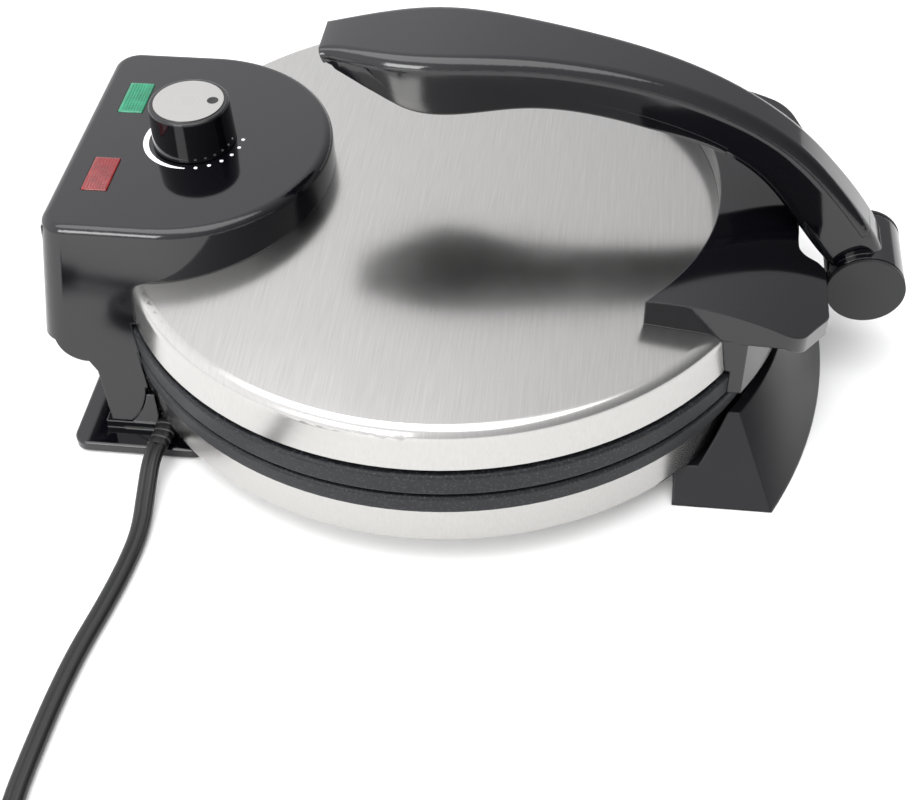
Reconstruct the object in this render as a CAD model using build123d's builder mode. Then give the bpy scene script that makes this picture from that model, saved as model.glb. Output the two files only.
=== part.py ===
from build123d import *
import os
from math import cos, degrees, pi, radians, sin, sqrt, tan

# An electric roti maker: a round griddle body on a rear and a front foot, and a domed lid with a
# second heated plate.  The lid's moulded housing carries the controls and wraps round the hinge,
# and the bracket at its front carries a long handle that folds back over the lid.
# Millimetres.  X runs from the hinge to the handle, Y across, Z up, and the feet stand on Z = 0.
# Plan positions are given from the vertical axis of the two plates, which is at X = plate_x.

os.makedirs("parts", exist_ok=True)

# ---------------------------------------------------------------- sizes: round body
flange_radius = 131.0
flange_round = 1.4
cooking_rim_width = 7.0
plate_web = 6.5
foot_height = 12.0
pan_inset = 1.5
pan_depth = 18.1
pan_round = 3.0
sheet = 0.8
lower_flange_thickness = 8.1
flange_groove = 1.4
cooking_gap = 0.4
upper_flange_thickness = 9.4
spigot_thickness = 4.0
spigot_depth = 4.0
lid_ring_height = 2.0
lid_ring_inset = 2.0
lid_ring_width = 3.0
lid_skirt_inset = 1.5
lid_skirt_lean = 2.0
lid_skirt_height = 16.3
lid_shoulder_round = 5.0
lid_crown_rise = 8.0

# sizes: heating
element_radius = 80.0
element_section = 3.3
element_gap_angle = 30.0
element_terminal_length = 9.0
element_rib_width = 13.0
element_rib_depth = 4.0
shield_radius = 96.0
shield_depth = 5.0
shield_thickness = 0.6
shield_clearance = 2.2
shield_boss_radius = 4.0
shield_boss_circle = 45.0
shield_screw_count = 3

# sizes: hinge housing on the lid
panel_rise = 12.9
panel_half_width = 58.0
panel_corner_round = 10.0
panel_edge_round = 3.5
panel_overhang = 14.0
drum_inset = 27.5
side_flare = 0.25
rear_flare = 0.1
housing_wall = 3.0
step_above_axis = 17.6
cheek_arc_behind_axis = 1.5
cheek_arc_above_axis = 23.5
cheek_arc_radius = 13.6
leg_rear_top_offset = 2.0
leg_rear_top_drop = 4.0
leg_rear_bottom_offset = 5.4
leg_bottom_z = 9.0

# sizes: hinge
hinge_inset = 1.0
hinge_z = 24.0
hinge_pin_radius = 3.0
hinge_ear_radius = 6.4
hinge_ear_inner_y = 44.2
hinge_ear_thickness = 5.8
hinge_side_gap = 0.5
arm_foot_rise = 4
arm_wall_bite = 1
hinge_arm_thickness = 4.0
hinge_arm_radius = 7.0
leg_end_radius = 20.0
leg_clearance = 0.5
leg_plate_clearance = 0.6

# sizes: rear foot
rear_foot_behind_hinge = 9.0
rear_foot_ahead_of_hinge = 44.5
rear_foot_half_width = 88.0
rear_foot_thickness = 4.0
rear_foot_ground_gap = 1.2
rear_foot_corner = 6.0
rear_foot_edge_round = 1.0
pedestal_half_width = 58.0
pedestal_start = 8.0
pedestal_end = 42.0
plinth_inner_y = 66.0
plinth_outer_y = 78.5
plinth_start = 3.0
plinth_end = 23.0
cradle_end = 24.2
cradle_foot_set_back = 1.5
cradle_head_set_back = 1.0
cradle_bend_rise = 3.0
cradle_top_z = 21.0

# sizes: front foot
front_foot_inner_inset = 37.0
front_foot_bottom_half_width = 92.5
front_foot_bottom_reach = 21.8
front_foot_top_half_width = 69.0
front_foot_top_reach = 4.3
front_foot_top_z = 28.0
front_foot_ground_gap = 0.4

# sizes: small parts underneath
pad_radius = 5.0
pad_recess = 1.2
pad_fit = 0.1
rear_pad_behind_hinge = 2.0
rear_pad_y = 81.5
front_pad_inset = 19.0
front_pad_y = 80.0
foot_screw_rear_offset = 32.0
foot_screw_rear_y = 38.0
foot_screw_front_inset = 29.0
foot_screw_front_y = 35.0
screw_radius = 2.0
screw_head_radius = 3.8
screw_head_height = 2.4
screw_fit = 0.1
screw_boss_radius = 5.5
screw_seat_z = 6.0
screw_grip = 9.0

# sizes: front bracket
bracket_inner_inset = 26.5
bracket_tip_half_width = 69.5
bracket_wing_half_width = 72.0
bracket_wing_reach = 2.0
bracket_front_reach = 14.0
bracket_front_half_width = 51.0
bracket_notch_reach = 3.5
bracket_notch_half_width = 22.0
bracket_wing_round = 10.0
bracket_front_round = 8.0
bracket_notch_round = 4.0
bracket_tip_rise = 5.1
bracket_mid_inset = 13.0
bracket_mid_drop = 0.7
bracket_front_drop = 15.3
bracket_edge_thickness = 7.0
bracket_under_drop = 10.8
bracket_under_inset = 3.0
apron_reach = 4.4
apron_half_width = 71.0
apron_above_parting = 1.5
tongue_half_width = 14.0
tongue_gap = 1.0
tongue_bottom_z = 29.6

# sizes: handle pivot and barrel
pivot_reach = 31.9
pivot_z = 45.25
pivot_pin_radius = 3.0
barrel_radius = 14.85
barrel_half_length = 13.6
barrel_neck_inset = 1.3
barrel_neck_length = 0.8
barrel_cap_thickness = 1.5
barrel_cap_spigot = 2.0
lug_half_width = 6.0
lug_side_gap = 0.5
knuckle_radius = 8.5
knuckle_gap = 0.6
lug_root_drop = 4.25
lug_top_angle = 190.0
lug_bottom_angle = 245.0
lug_heel_radius = 23.8
lug_heel_angle = 228.2
lug_throat_radius = 14.8
lug_throat_angle = 209.3
lug_saddle_radius = 20.4
lug_saddle_angle = 208.6
lug_crest_radius = 24.5
lug_crest_angle = 192.4
barrel_slot_start = 187.0
barrel_slot_angle = 180.0
handle_travel = 120.0

# sizes: handle.  Each station gives the section's top and underside from the pivot, in the side
# view, and half its width.
handle_stations = [
    ((-206.9, 92.4), (-204.9, 86.3), 11.0),
    ((-183.9, 95.0), (-181.9, 78.3), 17.7),
    ((-162.9, 96.0), (-163.9, 73.6), 20.0),
    ((-134.9, 95.0), (-135.9, 75.7), 17.0),
    ((-104.9, 90.6), (-109.9, 73.2), 14.0),
    ((-67.9, 79.7), (-75.9, 62.8), 12.0),
    ((-31.9, 58.3), (-45.4, 44.3), 10.5),
    ((-15.9, 42.0), (-31.9, 28.3), 10.8),
    ((-1.9, 24.3), (-17.9, 9.8), 11.0),
    ((5.6, 11.0), (-10.0, 2.0), 11.0),
]
handle_side_round = 5.0
handle_cover_depth = 3.6

# sizes: control knob, thermostat and lamps
knob_offset = 4.6
knob_foot_radius = 16.2
knob_top_radius = 15.4
knob_height = 16.8
knob_panel_gap = 0.5
knob_rim_round = 0.8
knob_cap_radius = 13.5
knob_cap_thickness = 1.2
knob_cap_proud = 0.3
spindle_radius = 3.0
spindle_length = 22.5
bush_radius = 5.0
thermostat_length = 30.0
thermostat_width = 24.0
thermostat_height = 9.0
lamp_offset = 25.7
lamp_y = 25.2
lens_length = 20.2
lens_width = 10.0
lens_proud = 0.8
lens_flange = 1.4
lens_flange_thickness = 1.0
lamp_holder_height = 6.5

# sizes: lid fixings
lid_screw_rear_offset = 4.5
lid_screw_rear_y = 42.0
lid_screw_front_inset = 27.0
lid_screw_front_y = 36.0
housing_screw_offset = 31.5
housing_screw_y = 33.0
bracket_screw_inset = 19.0
bracket_screw_y = 14.0
bracket_screw_grip = 4.0
bracket_screw_pocket = 4.5

# sizes: power cord
cord_radius = 3.0
cord_width = 7.2
cord_thickness = 4.4
cord_exit_offset = 29.1
cord_exit_z = 8.6
grommet_width = 12.0
grommet_length = 8.0
grommet_height = 6.4
grommet_round = 2.0
coil_turn_radius = 36.5
coil_centre_offset = 48.2
coil_centre_y = -272.0
coil_layers = 2
plug_length = 36.0
plug_width = 25.0
plug_height = 14.0
plug_round = 4.0
plug_neck_width = 11.25
plug_neck_height = 9.8
plug_neck_round = 2.5
plug_blade_length = 16.5
plug_blade_width = 6.4
plug_blade_thickness = 1.6
plug_blade_spacing = 12.7

# clearances between neighbours
seat_fit = 0.05
press_fit = 0.02
running_fit = 0.06
window_fit = 0.1
swing_gap = 0.3

# ---------------------------------------------------------------- worked-out heights and places
cooking_radius = flange_radius - cooking_rim_width
pan_radius = flange_radius - pan_inset
lid_skirt_radius = flange_radius - lid_skirt_inset
lower_flange_bottom = foot_height + pan_depth
lower_flange_top = lower_flange_bottom + lower_flange_thickness
parting_z = lower_flange_top + flange_groove / 2
upper_flange_bottom = lower_flange_top + flange_groove
upper_flange_top = upper_flange_bottom + upper_flange_thickness
lower_cooking_z = parting_z - cooking_gap / 2
upper_cooking_z = parting_z + cooking_gap / 2
lower_web_z = lower_cooking_z - plate_web
upper_web_z = upper_cooking_z + plate_web
lid_bottom_z = upper_flange_top + lid_ring_height
lid_edge_z = lid_bottom_z + lid_skirt_height
lid_edge_radius = lid_skirt_radius - lid_skirt_lean
lid_top_z = lid_edge_z + lid_crown_rise
panel_z = lid_top_z + panel_rise
panel_inner_z = panel_z - housing_wall
rear_foot_top = rear_foot_ground_gap + rear_foot_thickness
step_z = hinge_z + step_above_axis

# Plan positions, from the plate axis: the rear pieces follow the hinge and the drum, and the front
# pieces follow the flange.
hinge_x = hinge_inset - flange_radius
drum_centre_x = drum_inset - flange_radius
panel_rear_reach = flange_radius + panel_overhang
rear_foot_rear_x = hinge_x - rear_foot_behind_hinge
rear_foot_front_x = hinge_x + rear_foot_ahead_of_hinge
pedestal_rear_x = hinge_x + pedestal_start
pedestal_front_x = hinge_x + pedestal_end
plinth_rear_x = hinge_x + plinth_start
plinth_front_x = hinge_x + plinth_end
cradle_front_x = hinge_x + cradle_end
rear_pad_x = hinge_x - rear_pad_behind_hinge
foot_screw_rear_x = hinge_x + foot_screw_rear_offset
knob_x = drum_centre_x + knob_offset
lamp_x = drum_centre_x - lamp_offset
lid_screw_rear_x = drum_centre_x + lid_screw_rear_offset
housing_screw_x = drum_centre_x + housing_screw_offset
front_foot_inner_x = flange_radius - front_foot_inner_inset
front_foot_top_radius = flange_radius + front_foot_top_reach
front_pad_x = flange_radius - front_pad_inset
foot_screw_front_x = flange_radius - foot_screw_front_inset
lid_screw_front_x = flange_radius - lid_screw_front_inset
bracket_screw_x = flange_radius - bracket_screw_inset
bracket_inner_radius = flange_radius - bracket_inner_inset
bracket_wing_x = flange_radius + bracket_wing_reach
bracket_front_x = flange_radius + bracket_front_reach
bracket_notch_x = flange_radius + bracket_notch_reach
bracket_mid_x = flange_radius - bracket_mid_inset
bracket_under_x = flange_radius - bracket_under_inset
apron_radius = flange_radius + apron_reach
pivot_x = flange_radius + pivot_reach
rear_reach = panel_rear_reach + rear_flare * (panel_z - step_z)
front_reach = pivot_x + barrel_radius
plate_x = (rear_reach - front_reach) / 2


def level(height, x=0.0, y=0.0):
    """Horizontal plane at a height, with its origin at a plan position from the plate axis."""
    return Plane(origin=(plate_x + x, y, height), x_dir=(1, 0, 0), z_dir=(0, 0, 1))


def side_view(y=0.0):
    """Upright plane seen from -Y: local x runs forward from the plate axis, local y runs up."""
    return Plane(origin=(plate_x, y, 0), x_dir=(1, 0, 0), z_dir=(0, -1, 0))


def spread(x, y):
    """A plan position and its mirror image across the centre line."""
    return [(x, y), (x, -y)]


plate_axis = Axis((plate_x, 0, 0), (0, 0, 1))


def dome_height(radius):
    """Height of the lid's outer surface at a distance from the plate axis."""
    sphere = (lid_edge_radius**2 + lid_crown_rise**2) / (2 * lid_crown_rise)
    return lid_top_z - sphere + sqrt(sphere**2 - radius**2)


def lid_body(gap):
    """The lid's outer form as a solid of revolution, grown by a gap."""
    with BuildPart() as body:
        with BuildSketch(side_view()):
            with BuildLine():
                edge = (lid_edge_radius + gap, lid_edge_z + gap)
                half = lid_edge_radius / 2
                Polyline(
                    (0, lid_top_z + gap),
                    (0, lid_bottom_z),
                    (lid_skirt_radius + gap, lid_bottom_z),
                    edge,
                )
                ThreePointArc(edge, (half, dome_height(half) + gap), (0, lid_top_z + gap))
            make_face()
            shoulder = vertices().sort_by_distance((lid_edge_radius, lid_edge_z, 0))[0]
            fillet(shoulder, lid_shoulder_round)
        revolve(axis=plate_axis)
    return body.part


def round_body(radius, bottom, top):
    """A plain cylinder on the plate axis between two heights."""
    with BuildPart() as body:
        with BuildSketch(level(bottom)):
            Circle(radius)
        extrude(amount=top - bottom)
    return body.part


# Cutters that the pieces around the lid and the body are trimmed with.
lid_cutter = lid_body(seat_fit)
upper_flange_cutter = round_body(flange_radius + seat_fit, parting_z, lid_bottom_z)
swing_cutter = round_body(flange_radius + leg_plate_clearance, 0, parting_z)


def finish(piece, name):
    """Label a finished piece and write it as a STEP file."""
    piece.label = name
    export_step(piece, f"parts/{name}.step")


# ---------------------------------------------------------------- base pan
screw_spots = spread(foot_screw_rear_x, foot_screw_rear_y) + spread(
    foot_screw_front_x, foot_screw_front_y
)
pan_floor_z = foot_height + sheet

with BuildPart() as base_pan:
    with BuildSketch(level(foot_height)):
        Circle(pan_radius)
    extrude(amount=pan_depth)
    fillet(base_pan.faces().sort_by(Axis.Z)[0].edges(), pan_round)
    offset(amount=-sheet, openings=base_pan.faces().sort_by(Axis.Z)[-1])
    with BuildSketch(level(foot_height)):
        with Locations(*screw_spots):
            Circle(screw_radius + screw_fit)
    extrude(amount=sheet, mode=Mode.SUBTRACT)
finish(base_pan.part, "base_pan")


# ---------------------------------------------------------------- griddle plates
def griddle_plate(facing, spigot_radius, heights, boss_spots, boss_end):
    """A cast plate: flat cooking face, thick rounded flange, locating spigot, element rib, bosses.

    facing is +1 when the cooking face looks up and -1 when it looks down.  heights are those of the
    cooking face, the flange's face and back, and the back of the web.
    """
    cooking_z, flange_face_z, flange_back_z, web_z = heights
    step = abs(cooking_z - flange_face_z)
    rib_z = web_z - facing * element_rib_depth
    with BuildPart() as plate:
        with BuildSketch(side_view()):
            with BuildLine():
                Polyline(
                    (0, cooking_z),
                    (cooking_radius, cooking_z),
                    (cooking_radius + step, flange_face_z),
                    (flange_radius, flange_face_z),
                    (flange_radius, flange_back_z),
                    (spigot_radius, flange_back_z),
                    (spigot_radius, flange_back_z - facing * spigot_depth),
                    (spigot_radius - spigot_thickness, flange_back_z - facing * spigot_depth),
                    (spigot_radius - spigot_thickness, web_z),
                    (0, web_z),
                    close=True,
                )
            make_face()
            rim = vertices().group_by(Axis.X)[-1]
            fillet(rim, flange_round)
        revolve(axis=plate_axis)
        with BuildSketch(side_view()):
            with Locations((element_radius, (rib_z + web_z) / 2)):
                Rectangle(element_rib_width, element_rib_depth)
        revolve(axis=plate_axis)
        with BuildSketch(level(web_z)):
            with Locations(*boss_spots):
                Circle(screw_boss_radius)
        extrude(amount=boss_end - web_z)
        with BuildSketch(level(web_z)):
            with PolarLocations(shield_boss_circle, shield_screw_count):
                Circle(shield_boss_radius)
        extrude(amount=-facing * (element_rib_depth + element_section + shield_clearance))
        with BuildSketch(side_view()):
            with Locations((element_radius, rib_z)):
                Circle(element_section + seat_fit)
        revolve(axis=plate_axis, mode=Mode.SUBTRACT)
        with BuildSketch(level(boss_end)):
            with Locations(*boss_spots):
                Circle(screw_radius + press_fit)
        extrude(amount=facing * screw_grip, mode=Mode.SUBTRACT)
        shield_seat_z = rib_z - facing * (element_section + shield_clearance)
        with BuildSketch(level(shield_seat_z)):
            with PolarLocations(shield_boss_circle, shield_screw_count):
                Circle(screw_radius + press_fit)
        extrude(amount=facing * (screw_grip - screw_head_height), mode=Mode.SUBTRACT)
    return plate.part


def heating_element(facing, web_z):
    """A tubular element bent to an open ring, with a terminal at each end."""
    ring_z = web_z - facing * element_rib_depth
    with BuildPart() as element:
        turn = 180 + element_gap_angle / 2
        start = (cos(radians(turn)), sin(radians(turn)))
        ring_plane = Plane(
            origin=(plate_x, 0, 0), x_dir=(*start, 0), z_dir=(start[1], -start[0], 0)
        )
        with BuildSketch(ring_plane):
            with Locations((element_radius, ring_z)):
                Circle(element_section)
        revolve(axis=plate_axis, revolution_arc=360 - element_gap_angle)
        ends = [(element_radius * start[0], side * element_radius * start[1]) for side in (1, -1)]
        with BuildSketch(level(ring_z)):
            with Locations(*ends):
                Circle(element_section)
        extrude(amount=-facing * element_terminal_length)
    return element.part


def heat_shield(facing, web_z):
    """A shallow sheet dish that closes in the element."""
    seat_z = web_z - facing * (element_rib_depth + element_section + shield_clearance)
    rim_z = seat_z + facing * shield_depth
    with BuildPart() as shield:
        with BuildSketch(side_view()):
            with BuildLine():
                slope_radius = shield_radius - shield_depth
                Polyline(
                    (0, seat_z),
                    (slope_radius, seat_z),
                    (shield_radius, rim_z),
                    (shield_radius, rim_z - facing * shield_thickness),
                    (slope_radius, seat_z - facing * shield_thickness),
                    (0, seat_z - facing * shield_thickness),
                    close=True,
                )
            make_face()
        revolve(axis=plate_axis)
        with BuildSketch(level(seat_z)):
            with PolarLocations(shield_boss_circle, shield_screw_count):
                Circle(screw_radius + screw_fit)
        extrude(amount=shield_depth, both=True, mode=Mode.SUBTRACT)
        with BuildSketch(level(seat_z)):
            terminal_x = -element_radius * cos(radians(element_gap_angle / 2))
            terminal_y = element_radius * sin(radians(element_gap_angle / 2))
            with Locations(*spread(terminal_x, terminal_y)):
                Circle(element_section + 1.0)
        extrude(amount=shield_depth, both=True, mode=Mode.SUBTRACT)
    return shield.part


def screws(plane_spots, direction, grip):
    """Pan-head screws, as a group: each stands at a spot on its head's seat, and points along Z."""
    with BuildPart() as group:
        for height, x, y in plane_spots:
            with BuildSketch(level(height, x, y)):
                Circle(screw_head_radius)
            extrude(amount=-direction * screw_head_height)
            with BuildSketch(level(height, x, y)):
                Circle(screw_radius)
            extrude(amount=direction * grip)
    return group.part


lower_plate = griddle_plate(
    1,
    pan_radius - sheet - seat_fit,
    (lower_cooking_z, lower_flange_top, lower_flange_bottom, lower_web_z),
    screw_spots,
    pan_floor_z,
)
finish(lower_plate, "lower_plate")
finish(heating_element(1, lower_web_z), "lower_element")
finish(heat_shield(1, lower_web_z), "lower_heat_shield")

lid_screw_spots = spread(lid_screw_rear_x, lid_screw_rear_y) + spread(
    lid_screw_front_x, lid_screw_front_y
)
lid_ring_radius = lid_skirt_radius - lid_ring_inset
lid_ring_inner_radius = lid_ring_radius - lid_ring_width
lid_screw_circle = max(sqrt(x**2 + y**2) for x, y in lid_screw_spots)
lid_boss_end = dome_height(lid_screw_circle + screw_boss_radius) - sheet - swing_gap
upper_plate = griddle_plate(
    -1,
    lid_ring_inner_radius - seat_fit,
    (upper_cooking_z, upper_flange_bottom, upper_flange_top, upper_web_z),
    lid_screw_spots,
    lid_boss_end,
)
finish(upper_plate, "upper_plate")
finish(heating_element(-1, upper_web_z), "upper_element")
finish(heat_shield(-1, upper_web_z), "upper_heat_shield")

shield_drop = element_rib_depth + element_section + shield_clearance + shield_thickness
shield_grip = screw_grip - screw_head_height - shield_thickness
shield_spots = [
    (
        shield_boss_circle * cos(2 * pi * turn / shield_screw_count),
        shield_boss_circle * sin(2 * pi * turn / shield_screw_count),
    )
    for turn in range(shield_screw_count)
]
finish(
    screws([(lower_web_z - shield_drop, x, y) for x, y in shield_spots], 1, shield_grip),
    "lower_shield_screws",
)
finish(
    screws([(upper_web_z + shield_drop, x, y) for x, y in shield_spots], -1, shield_grip),
    "upper_shield_screws",
)

# ---------------------------------------------------------------- lid cover and its ring
with BuildPart() as lid_ring:
    with BuildSketch(level(upper_flange_top)):
        Circle(lid_ring_radius)
        Circle(lid_ring_inner_radius, mode=Mode.SUBTRACT)
    extrude(amount=lid_ring_height)
finish(lid_ring.part, "lid_ring")

housing_screw_spots = spread(housing_screw_x, housing_screw_y)
bracket_screw_spots = spread(bracket_screw_x, bracket_screw_y)
with BuildPart() as lid_cover:
    add(lid_body(0))
    offset(amount=-sheet, openings=lid_cover.faces().sort_by(Axis.Z)[0])
    with BuildSketch(level(lid_bottom_z)):
        with Locations(*lid_screw_spots, *housing_screw_spots, *bracket_screw_spots):
            Circle(screw_radius + screw_fit)
    extrude(amount=panel_rise + lid_top_z, mode=Mode.SUBTRACT)
finish(lid_cover.part, "lid_cover")


# ---------------------------------------------------------------- hinge housing
def half_width_at(height):
    """Half width of the flared housing between its side faces."""
    return panel_half_width + side_flare * (panel_z - height)


def rear_at(height):
    """Distance back from the plate axis to the leaning rear face."""
    return -panel_rear_reach - rear_flare * (panel_z - height)


def flared_box(inset, top, bottom, front_x):
    """The housing's leaning side and rear walls as a block, shrunk by an inset."""
    with BuildPart() as box:
        for height in (top, bottom):
            rear = rear_at(height) + inset
            half = half_width_at(height) - inset
            with BuildSketch(level(height)):
                with BuildLine():
                    Polyline((rear, half), (front_x, half), (front_x, -half), (rear, -half), close=True)
                make_face()
                fillet(vertices().group_by(Axis.X)[0], panel_corner_round - inset)
        loft(ruled=True)
    return box.part


def side_mask(points_and_arcs):
    """Extrude a side-view outline right across the part."""
    with BuildPart() as mask:
        with BuildSketch(side_view()):
            with BuildLine():
                for piece in points_and_arcs:
                    if len(piece) == 3:
                        ThreePointArc(*piece)
                    else:
                        Line(*piece)
            make_face()
        extrude(amount=2 * flange_radius, both=True)
    return mask.part


def on_circle(centre, radius, angle):
    """A point of the side view on a circle, by its angle up from forward."""
    return (
        centre[0] + radius * cos(radians(angle)),
        centre[1] + radius * sin(radians(angle)),
    )


# The side outline of the housing: the step and round boss behind the hinge, and the leg that runs
# down beside it and ends in an arc about the hinge axis, so that it turns in the foot's cradle.
cheek_centre = (hinge_x - cheek_arc_behind_axis, hinge_z + cheek_arc_above_axis)
arc_start_drop = cheek_centre[1] - step_z
arc_start = (cheek_centre[0] - sqrt(cheek_arc_radius**2 - arc_start_drop**2), step_z)
arc_end = on_circle(cheek_centre, cheek_arc_radius, -88)
arc_middle = on_circle(cheek_centre, cheek_arc_radius, -125)
hinge_point = (hinge_x, hinge_z)
leg_drop = hinge_z - leg_bottom_z
leg_front_bottom = (hinge_x + sqrt(leg_end_radius**2 - leg_drop**2), leg_bottom_z)
leg_front_top = on_circle(hinge_point, leg_end_radius, 0)
leg_front_middle = on_circle(hinge_point, leg_end_radius, -20)
leg_rear_top = (hinge_x + leg_rear_top_offset, arc_end[1] - leg_rear_top_drop)
leg_rear_bottom = (hinge_x + leg_rear_bottom_offset, leg_bottom_z)
housing_outline = [
    ((rear_at(0) - 5, panel_z + 5), (rear_at(0) - 5, step_z)),
    ((rear_at(0) - 5, step_z), arc_start),
    (arc_start, arc_middle, arc_end),
    (arc_end, leg_rear_top),
    (leg_rear_top, leg_rear_bottom),
    (leg_rear_bottom, leg_front_bottom),
    (leg_front_bottom, leg_front_middle, leg_front_top),
    (leg_front_top, (0, hinge_z)),
    ((0, hinge_z), (0, panel_z + 5)),
    ((0, panel_z + 5), (rear_at(0) - 5, panel_z + 5)),
]

shroud_outer = flared_box(0, panel_z, 0, drum_centre_x)
shroud_inner = flared_box(housing_wall, panel_inner_z, -1, drum_centre_x + housing_wall)
lens_spots = spread(lamp_x, lamp_y)
ear_middle_y = hinge_ear_inner_y + hinge_ear_thickness / 2
arm_inner_y = hinge_ear_inner_y + hinge_ear_thickness + hinge_side_gap
arm_middle_y = arm_inner_y + hinge_arm_thickness / 2
arm_foot_z = step_z + arm_foot_rise


def drum_block(inset, top):
    """The half-round drum in front of the box: its sides lean as the box's do, its front is upright."""
    reach = panel_half_width - inset
    with BuildPart() as block:
        for height in (top, lid_bottom_z):
            half = half_width_at(height) - inset
            with BuildSketch(level(height, drum_centre_x)):
                with BuildLine():
                    EllipticalCenterArc((0, 0), reach, half, start_angle=-90, arc_size=180)
                    Line((0, half), (0, -half))
                make_face()
        loft(ruled=True)
    return block.part



with BuildPart() as hinge_housing:
    add(shroud_outer)
    add(drum_block(0, panel_z))
    fillet(hinge_housing.faces().sort_by(Axis.Z)[-1].edges(), panel_edge_round)
    add(shroud_inner, mode=Mode.SUBTRACT)
    add(drum_block(housing_wall, panel_inner_z), mode=Mode.SUBTRACT)
    # Arms that reach down inside the cheeks to the hinge pins.
    for side in (1, -1):
        with BuildSketch(side_view(side * arm_middle_y)):
            with BuildLine():
                Polyline(
                    (hinge_x - hinge_arm_radius, hinge_z),
                    (hinge_x + hinge_arm_radius, hinge_z),
                    (hinge_x + hinge_arm_radius, panel_inner_z),
                    (rear_at(panel_inner_z) + arm_wall_bite, panel_inner_z),
                    (rear_at(arm_foot_z) + arm_wall_bite, arm_foot_z),
                    close=True,
                )
            make_face()
            with Locations(hinge_point):
                Circle(hinge_arm_radius)
        extrude(amount=hinge_arm_thickness / 2, both=True)
    # Bosses for the screws that come up through the lid cover.
    with BuildSketch(level(lid_bottom_z)):
        with Locations(*housing_screw_spots):
            Circle(screw_boss_radius)
    extrude(amount=panel_z - housing_wall / 2 - lid_bottom_z)
    add(lid_cutter, mode=Mode.SUBTRACT)
    add(upper_flange_cutter, mode=Mode.SUBTRACT)
    add(swing_cutter, mode=Mode.SUBTRACT)
    add(side_mask(housing_outline), mode=Mode.INTERSECT)
    # Bores: hinge pins, housing screws, lens windows and the thermostat's bush.
    with BuildSketch(side_view()):
        with Locations(hinge_point):
            Circle(hinge_pin_radius + running_fit)
    extrude(amount=arm_inner_y + hinge_arm_thickness + 1, both=True, mode=Mode.SUBTRACT)
    with BuildSketch(level(lid_bottom_z)):
        with Locations(*housing_screw_spots):
            Circle(screw_radius + press_fit)
    extrude(amount=panel_z - housing_wall - lid_bottom_z, mode=Mode.SUBTRACT)
    with BuildSketch(level(panel_inner_z - 1)):
        with Locations(*lens_spots):
            Rectangle(lens_width + 2 * window_fit, lens_length + 2 * window_fit)
        with Locations((knob_x, 0)):
            Circle(bush_radius + window_fit)
    extrude(amount=housing_wall + 2, mode=Mode.SUBTRACT)
finish(hinge_housing.part, "hinge_housing")

# ---------------------------------------------------------------- lamps, thermostat and knob
for lens_name, lens_side in (("green_lens", 1), ("red_lens", -1)):
    with BuildPart() as lens:
        with BuildSketch(level(panel_inner_z, lamp_x, lens_side * lamp_y)):
            Rectangle(lens_width, lens_length)
        extrude(amount=housing_wall + lens_proud)
        fillet(lens.faces().sort_by(Axis.Z)[-1].edges(), lens_proud / 2)
        with BuildSketch(level(panel_inner_z, lamp_x, lens_side * lamp_y)):
            Rectangle(lens_width + 2 * lens_flange, lens_length + 2 * lens_flange)
        extrude(amount=-lens_flange_thickness)
    finish(lens.part, lens_name)

with BuildPart() as lamp_holders:
    with BuildSketch(level(panel_inner_z - lens_flange_thickness)):
        with Locations(*lens_spots):
            Rectangle(lens_width + 2 * lens_flange, lens_length + 2 * lens_flange)
    extrude(amount=-lamp_holder_height)
finish(lamp_holders.part, "lamp_holders")

with BuildPart() as thermostat:
    with BuildSketch(level(panel_inner_z, knob_x)):
        Rectangle(thermostat_length, thermostat_width)
    extrude(amount=-thermostat_height)
    with BuildSketch(level(panel_inner_z, knob_x)):
        Circle(bush_radius)
    extrude(amount=housing_wall)
    with BuildSketch(level(panel_z, knob_x)):
        Circle(spindle_radius + running_fit)
    extrude(amount=-(housing_wall + thermostat_height / 2), mode=Mode.SUBTRACT)
finish(thermostat.part, "thermostat")

knob_bottom_z = panel_z + knob_panel_gap
knob_top_z = knob_bottom_z + knob_height
spindle_bottom_z = panel_inner_z - thermostat_height / 2
with BuildPart() as thermostat_knob:
    with BuildSketch(level(knob_bottom_z, knob_x)):
        Circle(knob_foot_radius)
    with BuildSketch(level(knob_top_z, knob_x)):
        Circle(knob_top_radius)
    loft()
    fillet(thermostat_knob.faces().sort_by(Axis.Z)[-1].edges(), knob_rim_round)
    with BuildSketch(level(knob_top_z, knob_x)):
        Circle(knob_cap_radius + press_fit)
    extrude(amount=-(knob_cap_thickness - knob_cap_proud), mode=Mode.SUBTRACT)
    with BuildSketch(level(spindle_bottom_z, knob_x)):
        Circle(spindle_radius + press_fit)
    extrude(amount=spindle_length, mode=Mode.SUBTRACT)
finish(thermostat_knob.part, "thermostat_knob")

with BuildPart() as knob_cap:
    with BuildSketch(level(knob_top_z + knob_cap_proud, knob_x)):
        Circle(knob_cap_radius)
    extrude(amount=-knob_cap_thickness)
finish(knob_cap.part, "knob_cap")

with BuildPart() as thermostat_spindle:
    with BuildSketch(level(spindle_bottom_z, knob_x)):
        Circle(spindle_radius)
    extrude(amount=spindle_length)
finish(thermostat_spindle.part, "thermostat_spindle")

# ---------------------------------------------------------------- front bracket
pivot_point = (pivot_x, pivot_z)
lug_root_x = flange_radius + tongue_gap + 0.5
tip_top_z = lid_top_z + bracket_tip_rise
tip_x = sqrt(bracket_inner_radius**2 - bracket_tip_half_width**2)
bracket_half_outline = [
    (bracket_wing_x, bracket_wing_half_width),
    (bracket_front_x, bracket_front_half_width),
    (bracket_front_x, bracket_notch_half_width),
    (bracket_notch_x, bracket_notch_half_width),
]
bracket_top_end = (bracket_front_x + 2, lid_top_z - bracket_front_drop)
bracket_underside_z = lid_top_z - bracket_under_drop
apron_bottom_z = parting_z + apron_above_parting

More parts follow.
